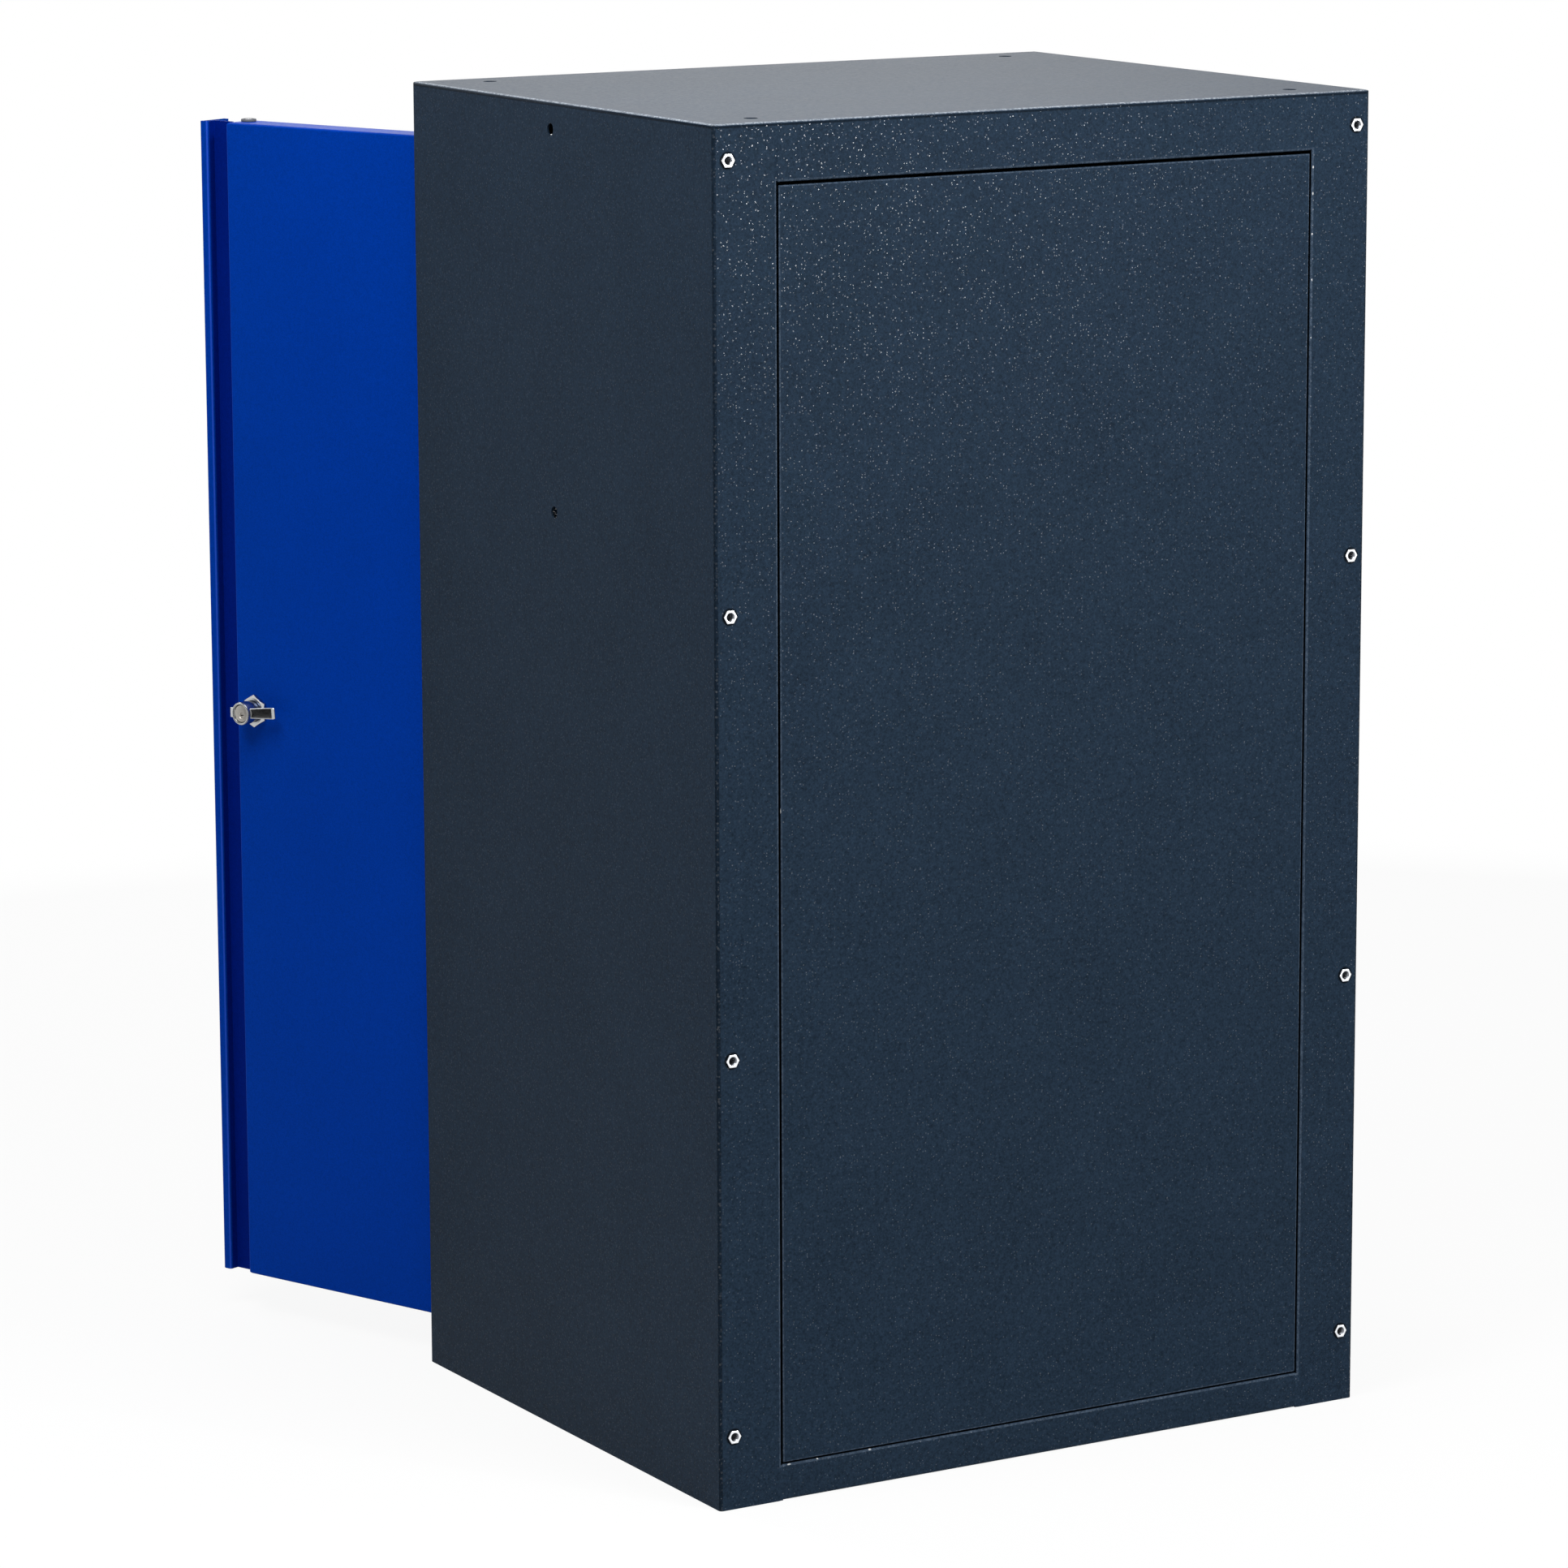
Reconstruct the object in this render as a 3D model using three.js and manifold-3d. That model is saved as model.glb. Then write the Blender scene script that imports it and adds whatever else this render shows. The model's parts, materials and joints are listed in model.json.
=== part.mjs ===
// Steel workshop cabinet with two folded doors and a rod lock, in millimetres, +Z up.
// The origin is the middle of the base sheet's underside, and the doors are at the -Y side.

import * as THREE from 'three';
import { mergeVertices } from 'three/addons/utils/BufferGeometryUtils.js';
import Module from 'manifold-3d';

const wasm = await Module();
wasm.setup();

// Carcass
const BODY_WIDTH = 430;
const BODY_DEPTH = 350;
const BODY_HEIGHT = 770;
const BODY_SHEET = 1;
const BODY_BEND = 2;
const FRONT_FLANGE = 16.7;
const REAR_FLANGE = 40;
const FRONT_TOP_BAND = 31;
const REAR_TOP_BAND = 33;
const BASE_BAND = 21.5;
const POST_LIP = 15;
const RAIL_LIP = 40;
const REAR_LIP = 12;
const BASE_SIDE_FOLD = 18;

// Holes in the top and the sides
const TOP_HOLE_RADIUS = 4;
const TOP_HOLE_SIDE_INSET = 38;
const TOP_HOLE_END_INSET = 25;
const SIDE_HOLE_RADIUS = 3.5;
const SIDE_HOLE_FORWARD = 7;
const SIDE_HOLE_DROP = 15.5;
const SIDE_HOLE_PITCH = 216;

// Back panel
const BACK_SHEET = 0.8;
const BACK_BEND = 1.2;
const BACK_DEPTH = 12;
const BACK_RECESS = 0.2;
const BACK_SIDE_GAP = 0.6;
const BACK_TOP_GAP = 1.2;
const BACK_BOTTOM_GAP = 0.3;

// Threaded inserts in the rear flanges
const INSERT_EDGE = 9;
const INSERT_DROP = 19.5;
const INSERT_PITCH = 247;
const INSERT_RISE = 42;
const INSERT_FLATS = 7.5;
const INSERT_HEAD = 0.8;
const INSERT_BORE_RADIUS = 2.1;
const INSERT_SHANK_RADIUS = 3;
const INSERT_BULGE_RADIUS = 3.8;
const INSERT_BULGE = 2.6;
const INSERT_LENGTH = 10;

// Doors
const DOOR_SHEET = 1;
const DOOR_BEND = 1.5;
const DOOR_CORNER = 3;
const DOOR_DEPTH = 20;
const DOOR_RETURN = 12;
const LIP_RETURN = 5;
const LIP_CORNER = 1.5;
const DOOR_TOP_GAP = 2;
const DOOR_BOTTOM_GAP = 2.5;
const HINGE_GAP = 2.5;
const LEAF_GAP = 2.3;
const LIP_PAST_MIDDLE = 9.8;
const GRIP_LIP = 6.3;
const GRIP_WIDTH = 15.1;
const GRIP_DEPTH = 6.3;
const OPEN_ANGLE = THREE.MathUtils.degToRad(111.2);

// Door stiffeners
const STIFFENER_WIDTH = 30;
const STIFFENER_DEPTH = 14;
const STIFFENER_FLANGE = 9;
const STIFFENER_END_GAP = 30;
const STIFFENER_FROM_HINGE = 82;

// Overlap strip on the left door
const STRIP_SHEET = 1.5;
const STRIP_BEND = 2.5;
const STRIP_LAP = 12;
const STRIP_REACH = 18;
const STRIP_TURN = 6;
const STRIP_END_GAP = 10;
const STRIP_CLEAR = 0.4;

// Door pivots
const PIVOT_INSET = 6;
const PIN_RADIUS = 2.5;
const PIN_HEAD_RADIUS = 3.6;
const PIN_HEAD = 2;
const PIN_CHAMFER = 0.6;
const PIN_REACH = 9;
const BUSH_RADIUS = 3.8;
const BUSH_FLANGE_RADIUS = 4.7;
const BUSH_REACH = 4;

// Lock
const LOCK_FROM_FREE_EDGE = 15.4;
const LOCK_BODY_RADIUS = 5.8;
const LOCK_BODY_LENGTH = 9;
const BARREL_RADIUS = 6.3;
const BARREL_LENGTH = 7;
const COLLAR_FLATS = 17.4;
const COLLAR_LENGTH = 2.8;
const COLLAR_CHAMFER = 0.8;
const NUT_FLATS = 17;
const NUT_LENGTH = 4;
const NUT_CHAMFER = 0.6;
const SHAFT_RADIUS = 4;
const KNOB_RADIUS = 7;
const KNOB_LENGTH = 6.7;
const KNOB_FLOOR = 1;
const KNOB_CHAMFER = 0.7;
const LEVER_LENGTH = 24;
const LEVER_ROOT = 5.6;
const LEVER_TIP = 7.2;
const LEVER_THICKNESS = 4.5;
const LEVER_SETBACK = 3.5;
const LEVER_TILT_DEGREES = 5;
const LEVER_FRONT_GAP = 0.8;
const TAIL_REACH = 2.3;
const TAIL_HEIGHT = 6;
const PLUG_RADIUS = 5.2;
const PLUG_SINK = 0.6;
const PLUG_GROOVE = 0.5;
const KEYWAY_LENGTH = 5.2;
const KEYWAY_HEIGHT = 1.6;
const KEYWAY_DEPTH = 3.6;
const CAM_SHEET = 2.5;
const CAM_WIDTH = 12;
const CRANK_RADIUS = 10;
const CRANK_PIN_RADIUS = 2;
const CRANK_PIN_LENGTH = 3.6;
const CAM_SCREW_RADIUS = 2;
const CAM_SCREW_HEAD_RADIUS = 3.8;
const CAM_SCREW_HEAD = 1.9;
const CAM_SCREW_LENGTH = 9;
const CAM_SCREW_SOCKET_RADIUS = 1.2;
const CAM_SCREW_SOCKET_DEPTH = 1.2;

// Lock rods
const ROD_RADIUS = 3;
const ROD_DEPTH = 13;
const ROD_TIP_CHAMFER = 0.6;
const ROD_PLATE_SHEET = 2;
const ROD_PLATE_WIDTH = 14;
const ROD_PLATE_BEND = 3;
const ROD_PLATE_TAIL = 5.4;
const ROD_JOGGLE_START = 17;
const ROD_JOGGLE_END = 24;
const ROD_PLATE_END = 33;
const ROD_SLOT_PLAY = 0.6;
const ROD_GUIDE_BORE_PLAY = 0.3;
const ROD_GUIDE_WALL = 0.5;
const ROD_GUIDE_RIM_RADIUS = 4.6;
const ROD_GUIDE_RIM = 1.5;
const ROD_GUIDE_REACH = 4;
const ROD_BRACKET_SHEET = 1.2;
const ROD_BRACKET_BEND = 2;
const ROD_BRACKET_HEIGHT = 14;
const ROD_BRACKET_FOOT = 10;
const ROD_BRACKET_DISTANCE = 120;
const KEEPER_WIDTH = 24;
const KEEPER_DEPTH = 18;
const KEEPER_SHEET = 2;
const KEEPER_PLAY = 0.7;

// Shelf rails, clips and shelves
const RAIL_SHEET = 1;
const RAIL_BEND = 1.5;
const RAIL_WIDTH = 22;
const RAIL_DEPTH = 8;
const RAIL_FLANGE = 9;
const RAIL_END_GAP = 8;
const RAIL_FROM_END = 57;
const SLOT_WIDTH = 13;
const SLOT_PITCH = 32;
const SLOT_FIRST = 16;
const CLIP_SHEET = 1.5;
const CLIP_BEND = 2.2;
const CLIP_WIDTH = 12;
const CLIP_TONGUE = 12;
const CLIP_HOOK = 6;
const SLOT_PLAY = 0.3;
const SHELF_SHEET = 1;
const SHELF_BEND = 1.8;
const SHELF_FOLD = 25;
const SHELF_RETURN = 10;
const SHELF_SIDE_GAP = 0.9;
const SHELF_DOOR_GAP = 12;
const SHELF_REAR_GAP = 5;
const SHELF_HEIGHT_SHARES = [0.35, 0.75];

// Magnetic catch of the left door
const CATCH_FROM_FREE_EDGE = 70;
const CATCH_WIDTH = 40;
const CATCH_DEPTH = 14;
const CATCH_HEIGHT = 14;
const CATCH_ROUNDING = 1.5;
const CATCH_EAR = 9;
const CATCH_EAR_SHEET = 2.5;
const CATCH_HOLE_RADIUS = 1.7;
const CATCH_POLE_SHEET = 1.6;
const CATCH_POLE_HEIGHT = 8;
const CATCH_POLE_REACH = 0.8;
const CATCH_AIR_GAP = 0.3;
const STRIKE_SHEET = 1.2;
const STRIKE_BEND = 2;
const STRIKE_WIDTH = 30;
const STRIKE_FOOT = 15;
const STRIKE_LEG = 12;

// Clearances: at welded faces, at seams, in running fits, and the overrun of cuts and joins
const WELD_GAP = 0.15;
const SEAM_GAP = 0.3;
const RUNNING_GAP = 0.2;
const CUT = 6;
const LAP = 1;

// Facet counts
const BEND_STEPS = 3;
const ROUND_STEPS = 24;
const SMALL_STEPS = 16;
const INSERT_STEPS = 12;

// Places that follow from the sizes
const halfWidth = BODY_WIDTH / 2;
const halfDepth = BODY_DEPTH / 2;
const wallInside = halfWidth - BODY_SHEET;
const frontHalf = halfWidth - FRONT_FLANGE;
const rearHalf = halfWidth - REAR_FLANGE;
const frontOpeningTop = BODY_HEIGHT - FRONT_TOP_BAND;
const rearOpeningTop = BODY_HEIGHT - REAR_TOP_BAND;
const doorTop = frontOpeningTop - DOOR_TOP_GAP;
const doorBottom = BASE_BAND + DOOR_BOTTOM_GAP;
const pivotX = frontHalf - HINGE_GAP - PIVOT_INSET;
const pivotY = PIVOT_INSET - halfDepth;
const rightLeafWidth = frontHalf - HINGE_GAP + LIP_PAST_MIDDLE;
const leftLeafWidth = frontHalf - HINGE_GAP - LIP_PAST_MIDDLE - LEAF_GAP;
const mainWidth = rightLeafWidth - GRIP_LIP - GRIP_WIDTH;
const lockAcross = mainWidth - LOCK_FROM_FREE_EDGE;
const lockHeight = (doorTop + doorBottom) / 2;

// The crank pins swing a quarter turn about the level line
const crankOffset = CRANK_RADIUS * Math.SQRT1_2;
const rodOffset = (CRANK_RADIUS + crankOffset) / 2;
const camFace = LOCK_BODY_LENGTH + SEAM_GAP + LAP + CAM_SHEET;
const rodPlateMiddle = camFace + SEAM_GAP + ROD_PLATE_SHEET / 2;

const bodyPaint = { color: 0x2b3646, roughness: 0.55, metalness: 0.1 };
const doorPaint = { color: 0x003496, roughness: 0.45, metalness: 0.1 };
const zinc = { color: 0xc9ccd0, roughness: 0.35, metalness: 0.9 };
const chrome = { color: 0xd9dbde, roughness: 0.12, metalness: 1 };
const plastic = { color: 0x55585c, roughness: 0.6, metalness: 0 };

// A closed geometry as a solid that can be joined and cut
function solid(geometry) {
  const bare = new THREE.BufferGeometry();
  const loose = geometry.index ? geometry.toNonIndexed() : geometry;
  bare.setAttribute('position', loose.getAttribute('position'));
  const merged = mergeVertices(bare);
  const position = merged.getAttribute('position');
  const corners = Array.from(merged.index.array);
  const triangles = [];
  let volume = 0;
  const [a, b, c] = [new THREE.Vector3(), new THREE.Vector3(), new THREE.Vector3()];
  for (let i = 0; i < corners.length; i += 3) {
    const [p, q, r] = corners.slice(i, i + 3);
    if (p === q || q === r || r === p) continue;
    triangles.push(p, q, r);
    a.fromBufferAttribute(position, p);
    b.fromBufferAttribute(position, q);
    c.fromBufferAttribute(position, r);
    volume += a.dot(b.cross(c));
  }
  if (volume < 0) triangles.reverse();
  return new wasm.Manifold(new wasm.Mesh({
    numProp: 3,
    vertProperties: new Float32Array(position.array),
    triVerts: new Uint32Array(triangles),
  }));
}

function geometryOf(body) {
  const mesh = body.getMesh();
  const geometry = new THREE.BufferGeometry();
  geometry.setAttribute('position', new THREE.BufferAttribute(mesh.vertProperties, 3));
  geometry.setIndex(new THREE.BufferAttribute(mesh.triVerts, 1));
  geometry.computeVertexNormals();
  return geometry;
}

function mirrored(geometry) {
  const copy = geometry.clone().scale(-1, 1, 1);
  copy.setIndex(Array.from(copy.index.array).reverse());
  copy.computeVertexNormals();
  return copy;
}

function part(name, body, finish) {
  const geometry = body.isBufferGeometry ? body : geometryOf(body);
  const mesh = new THREE.Mesh(geometry, new THREE.MeshStandardMaterial(finish));
  mesh.name = name;
  return mesh;
}

function join(bodies) {
  return bodies.reduce((whole, body) => whole.add(body));
}

function span(a, b) {
  return [Math.min(a, b), Math.max(a, b)];
}

function block([x0, x1], [y0, y1], [z0, z1]) {
  const geometry = new THREE.BoxGeometry(x1 - x0, y1 - y0, z1 - z0);
  return solid(geometry.translate((x0 + x1) / 2, (y0 + y1) / 2, (z0 + z1) / 2));
}

function extruded(points, depth) {
  const shape = new THREE.Shape(points.map(([a, b]) => new THREE.Vector2(a, b)));
  return new THREE.ExtrudeGeometry(shape, { depth, bevelEnabled: false });
}

const alongX = new THREE.Vector3(1, 0, 0);
const alongY = new THREE.Vector3(0, 1, 0);
const alongZ = new THREE.Vector3(0, 0, 1);

// Prism along X with its outline in y and z
function prismX(points, [x0, x1]) {
  const turn = new THREE.Matrix4().makeBasis(alongY, alongZ, alongX);
  return solid(extruded(points, x1 - x0).applyMatrix4(turn).translate(x0, 0, 0));
}

// Prism along Y with its outline in x and z
function prismY(points, [y0, y1]) {
  const turn = new THREE.Matrix4().makeBasis(alongX, alongZ, alongY.clone().negate());
  return solid(extruded(points, y1 - y0).applyMatrix4(turn).translate(0, y1, 0));
}

// Prism along Z with its outline in x and y
function prismZ(points, [z0, z1]) {
  return solid(extruded(points, z1 - z0).translate(0, 0, z0));
}

function circle(a, b, radius, steps = ROUND_STEPS) {
  return Array.from({ length: steps }, (_, i) => {
    const angle = (i / steps) * 2 * Math.PI;
    return [a + radius * Math.cos(angle), b + radius * Math.sin(angle)];
  });
}

// Hexagon from its width across the flats, with corners up and down when upright
function hexagon(a, b, flats, upright) {
  const turn = upright ? Math.PI / 6 : 0;
  const radius = flats / Math.sqrt(3);
  return Array.from({ length: 6 }, (_, i) => {
    const angle = turn + (i / 6) * 2 * Math.PI;
    return [a + radius * Math.cos(angle), b + radius * Math.sin(angle)];
  });
}

function roundedRectangle([a0, a1], [b0, b1], radius) {
  const corners = [[a1 - radius, b1 - radius], [a0 + radius, b1 - radius],
    [a0 + radius, b0 + radius], [a1 - radius, b0 + radius]];
  return corners.flatMap(([a, b], quarter) => Array.from({ length: BEND_STEPS + 1 }, (_, i) => {
    const angle = (quarter + i / BEND_STEPS) * Math.PI / 2;
    return [a + radius * Math.cos(angle), b + radius * Math.sin(angle)];
  }));
}

// Revolved solid about an axis along Y, from radius and place along the axis
function turnedY(profile, steps = ROUND_STEPS) {
  return solid(new THREE.LatheGeometry(profile.map(([r, y]) => new THREE.Vector2(r, y)), steps));
}

// Revolved solid about an axis along Z
function turnedZ(profile, steps = ROUND_STEPS) {
  const points = profile.map(([r, z]) => new THREE.Vector2(r, z));
  return solid(new THREE.LatheGeometry(points, steps).rotateX(Math.PI / 2));
}

// Outline of a folded sheet whose middle line follows the points, bent to an outside radius
function foldedOutline(points, sheet, bend) {
  const middle = bend - sheet / 2;
  const line = points.map(([a, b]) => new THREE.Vector2(a, b));
  const left = [];
  const right = [];
  const place = (centre, direction, toLeft, toRight) => {
    left.push(centre.clone().addScaledVector(direction, toLeft));
    right.push(centre.clone().addScaledVector(direction, toRight));
  };
  const heading = (from, to) => to.clone().sub(from).normalize();
  const sideways = (way) => new THREE.Vector2(-way.y, way.x);
  line.forEach((point, i) => {
    if (i === 0 || i === line.length - 1) {
      const way = i === 0 ? heading(point, line[1]) : heading(line[i - 1], point);
      place(point, sideways(way), sheet / 2, -sheet / 2);
      return;
    }
    const before = heading(line[i - 1], point);
    const after = heading(point, line[i + 1]);
    const turn = Math.atan2(before.cross(after), before.dot(after));
    const side = Math.sign(turn);
    const setback = middle * Math.tan(Math.abs(turn) / 2);
    const centre = point.clone().addScaledVector(before, -setback);
    centre.addScaledVector(sideways(before), side * middle);
    for (let k = 0; k <= BEND_STEPS; k += 1) {
      const direction = sideways(before).multiplyScalar(-side);
      direction.rotateAround(new THREE.Vector2(), (turn * k) / BEND_STEPS);
      place(centre, direction, middle - side * sheet / 2, middle + side * sheet / 2);
    }
  });
  return [...left, ...right.reverse()].map((point) => [point.x, point.y]);
}

// Box with rounded edges: the radii belong to the plan, the front view and the side view
function roundedBlock(xs, ys, zs, planRadius, frontRadius, sideRadius) {
  const plan = prismZ(roundedRectangle(xs, ys, planRadius), zs);
  const front = prismY(roundedRectangle(xs, zs, frontRadius), ys);
  const side = prismX(roundedRectangle(ys, zs, sideRadius), xs);
  return plan.intersect(front).intersect(side);
}

// Sheet pan with its face at one y and its walls folded back from it, towards +Y or -Y
function pan([x0, x1], [z0, z1], face, inward, { depth, sheet, bend, corner }) {
  const back = face + inward * depth;
  const overrun = inward * CUT;
  const outside = roundedBlock([x0, x1], span(face, back + overrun), [z0, z1], bend, corner, bend);
  const inside = roundedBlock(
    [x0 + sheet, x1 - sheet], span(face + inward * sheet, back + 2 * overrun),
    [z0 + sheet, z1 - sheet], bend - sheet, corner - sheet, bend - sheet,
  );
  const behind = block([x0 - CUT, x1 + CUT], span(back, back + 3 * overrun), [z0 - CUT, z1 + CUT]);
  return outside.subtract(inside).subtract(behind);
}

function holesAlongX(places, radius, xs) {
  return join(places.map(([y, z]) => prismX(circle(y, z, radius), xs)));
}

function holesAlongY(places, radius, ys) {
  return join(places.map(([x, z]) => prismY(circle(x, z, radius), ys)));
}

function holesAlongZ(places, radius, zs) {
  return join(places.map(([x, y]) => prismZ(circle(x, y, radius), zs)));
}

const bothSigns = [-1, 1];

// Places of the rods when the right door is shut, across the cabinet and front to back
const rodY = ROD_DEPTH - halfDepth;
const topRodX = pivotX + PIVOT_INSET - lockAcross - rodOffset;
const bottomRodX = pivotX + PIVOT_INSET - lockAcross + rodOffset;

const insertHeights = [
  BODY_HEIGHT - INSERT_DROP,
  BODY_HEIGHT - INSERT_DROP - INSERT_PITCH,
  BODY_HEIGHT - INSERT_DROP - 2 * INSERT_PITCH,
  INSERT_RISE,
];
const insertX = halfWidth - INSERT_EDGE;

// Fold at the edge of an upright flange, with its stiffening lip
function postFold(half, xSide, ySide, lip) {
  const flangeMiddle = ySide * (halfDepth - BODY_SHEET / 2);
  const lipMiddle = xSide * (half + BODY_SHEET / 2);
  const outline = foldedOutline([
    [xSide * (half + BODY_BEND + LAP), flangeMiddle],
    [lipMiddle, flangeMiddle],
    [lipMiddle, ySide * (halfDepth - lip)],
  ], BODY_SHEET, BODY_BEND);
  return prismZ(outline, [0, BODY_HEIGHT - BODY_BEND - LAP]);
}

// Skirt that hangs from the top between the flanges, with its level lip
function skirtFold(half, ySide, openingTop, lip) {
  const skirtMiddle = ySide * (halfDepth - BODY_SHEET / 2);
  const outline = foldedOutline([
    [skirtMiddle, BODY_HEIGHT - BODY_BEND],
    [skirtMiddle, openingTop + BODY_SHEET / 2],
    [ySide * (halfDepth - lip), openingTop + BODY_SHEET / 2],
  ], BODY_SHEET, BODY_BEND);
  return prismX(outline, [-half + SEAM_GAP, half - SEAM_GAP]);
}

// Sides and top from one sheet, open in front, behind and below
function outerShell() {
  const inner = BODY_BEND - BODY_SHEET;
  const outside = roundedBlock(
    [-halfWidth, halfWidth], [-halfDepth, halfDepth], [-CUT, BODY_HEIGHT],
    BODY_BEND, BODY_BEND, BODY_BEND,
  );
  const inside = roundedBlock(
    [-wallInside, wallInside], [BODY_SHEET - halfDepth, halfDepth - BODY_SHEET],
    [BODY_SHEET - CUT, BODY_HEIGHT - BODY_SHEET], inner, inner, inner,
  );
  const below = block([-BODY_WIDTH, BODY_WIDTH], [-BODY_DEPTH, BODY_DEPTH], [-2 * CUT, 0]);
  const wallEnd = BODY_HEIGHT - BODY_BEND - LAP;
  const openings = [[frontHalf, -1], [rearHalf, 1]].map(([half, side]) => block(
    [-half - BODY_BEND, half + BODY_BEND],
    span(side * (halfDepth + CUT), side * (halfDepth - CUT)),
    [-2 * CUT, wallEnd],
  ));
  const folds = bothSigns.flatMap((side) => [
    postFold(frontHalf, side, -1, POST_LIP),
    postFold(rearHalf, side, 1, REAR_LIP),
  ]);
  folds.push(
    skirtFold(frontHalf, -1, frontOpeningTop, RAIL_LIP),
    skirtFold(rearHalf, 1, rearOpeningTop, REAR_LIP),
  );
  const topHoleX = halfWidth - TOP_HOLE_SIDE_INSET;
  const topHoleY = halfDepth - TOP_HOLE_END_INSET;
  const topPlaces = bothSigns.flatMap((x) => bothSigns.map((y) => [x * topHoleX, y * topHoleY]));
  const sidePlaces = [0, 1].map((i) => (
    [-SIDE_HOLE_FORWARD, BODY_HEIGHT - SIDE_HOLE_DROP - i * SIDE_HOLE_PITCH]));
  const insertPlaces = bothSigns.flatMap((x) => insertHeights.map((z) => [x * insertX, z]));
  const lipRange = [frontOpeningTop - CUT, frontOpeningTop + CUT];
  return join([outside.subtract(inside).subtract(below).subtract(join(openings)), ...folds])
    .subtract(holesAlongZ(topPlaces, TOP_HOLE_RADIUS, [BODY_HEIGHT - CUT, BODY_HEIGHT + CUT]))
    .subtract(holesAlongX(sidePlaces, SIDE_HOLE_RADIUS, [-halfWidth - CUT, halfWidth + CUT]))
    .subtract(holesAlongY(
      insertPlaces, INSERT_SHANK_RADIUS + WELD_GAP, [halfDepth - CUT, halfDepth + CUT]))
    .subtract(pivotHoles(lipRange))
    .subtract(rodHole(topRodX, lipRange));
}

function pivotHoles(zs) {
  return holesAlongZ(bothSigns.map((x) => [x * pivotX, pivotY]), BUSH_RADIUS + WELD_GAP, zs);
}

function rodHole(x, zs) {
  return holesAlongZ([[x, rodY]], ROD_RADIUS + KEEPER_PLAY, zs);
}

// Tray on the floor, folded up between the posts, whose front and rear folds carry level lips
function bottomPanel() {
  const middle = BODY_SHEET / 2;
  const reach = wallInside - WELD_GAP;
  const profile = foldedOutline([
    [RAIL_LIP - halfDepth, BASE_BAND - middle],
    [middle - halfDepth, BASE_BAND - middle],
    [middle - halfDepth, middle],
    [halfDepth - middle, middle],
    [halfDepth - middle, BASE_BAND - middle],
    [halfDepth - REAR_LIP, BASE_BAND - middle],
  ], BODY_SHEET, BODY_BEND);
  const frontEdge = POST_LIP + WELD_GAP - halfDepth;
  const rearEdge = halfDepth - REAR_LIP - WELD_GAP;
  const frontReach = frontHalf - SEAM_GAP;
  const rearReach = rearHalf - SEAM_GAP;
  const plan = [
    [frontReach, -halfDepth], [frontReach, frontEdge], [reach, frontEdge], [reach, rearEdge],
    [rearReach, rearEdge], [rearReach, halfDepth],
  ];
  const outline = [...plan, ...plan.map(([x, y]) => [-x, y]).reverse()];
  const tray = prismX(profile, [BODY_BEND - reach, reach - BODY_BEND])
    .intersect(prismZ(outline, [-CUT, BASE_BAND + CUT]));
  const sideFolds = bothSigns.map((side) => {
    const fold = foldedOutline([
      [side * (reach - middle), BASE_SIDE_FOLD],
      [side * (reach - middle), middle],
      [side * (reach - BODY_BEND - LAP), middle],
    ], BODY_SHEET, BODY_BEND);
    return prismY(fold, [frontEdge, rearEdge]);
  });
  const lipRange = [BASE_BAND - CUT, BASE_BAND + CUT];
  return join([tray, ...sideFolds]).subtract(pivotHoles(lipRange))
    .subtract(rodHole(bottomRodX, lipRange));
}

// Folded panel that fills the opening in the back
function backPanel() {
  const half = rearHalf - BACK_SIDE_GAP;
  const size = { depth: BACK_DEPTH, sheet: BACK_SHEET, bend: BACK_BEND, corner: BACK_BEND };
  const heights = [BASE_BAND + BACK_BOTTOM_GAP, rearOpeningTop - BACK_TOP_GAP];
  return pan([-half, half], heights, halfDepth - BACK_RECESS, -1, size);
}

// Threaded insert with a hexagonal rim and the bulge that grips the flange from inside
function threadedInsert(x, z) {
  const rimBack = halfDepth + WELD_GAP;
  const bulgeFront = halfDepth - BODY_SHEET - WELD_GAP;
  const end = halfDepth - INSERT_LENGTH;
  const shank = turnedY([
    [0, end],
    [INSERT_SHANK_RADIUS, end],
    [INSERT_SHANK_RADIUS, bulgeFront - INSERT_BULGE],
    [INSERT_BULGE_RADIUS, bulgeFront - INSERT_BULGE / 2],
    [INSERT_BULGE_RADIUS, bulgeFront],
    [INSERT_SHANK_RADIUS, bulgeFront],
    [INSERT_SHANK_RADIUS, rimBack + INSERT_HEAD / 2],
    [0, rimBack + INSERT_HEAD / 2],
  ], INSERT_STEPS);
  const rim = prismY(hexagon(0, 0, INSERT_FLATS, false), [rimBack, rimBack + INSERT_HEAD]);
  const bore = prismY(circle(0, 0, INSERT_BORE_RADIUS, INSERT_STEPS), [end - CUT, rimBack + CUT]);
  return geometryOf(shank.add(rim).subtract(bore)).translate(x, 0, z);
}

// Places on a leaf, from its hinge edge along it and from its outer face inward
function leafX(across) {
  return PIVOT_INSET - across;
}

function leafY(depth) {
  return depth - PIVOT_INSET;
}

const doorFold = { depth: DOOR_DEPTH, sheet: DOOR_SHEET, bend: DOOR_BEND, corner: DOOR_CORNER };

// Return fold at the back of a leaf's upright wall, turned towards the middle of the leaf
function returnFold(edge, towards) {
  const wall = leafX(edge + towards * DOOR_SHEET / 2);
  const outline = foldedOutline([
    [wall, leafY(DOOR_DEPTH - DOOR_BEND - LAP)],
    [wall, leafY(DOOR_DEPTH - DOOR_SHEET / 2)],
    [leafX(edge + towards * DOOR_RETURN), leafY(DOOR_DEPTH - DOOR_SHEET / 2)],
  ], DOOR_SHEET, DOOR_BEND);
  return prismZ(outline, [doorBottom + DOOR_CORNER, doorTop - DOOR_CORNER]);
}

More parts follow.
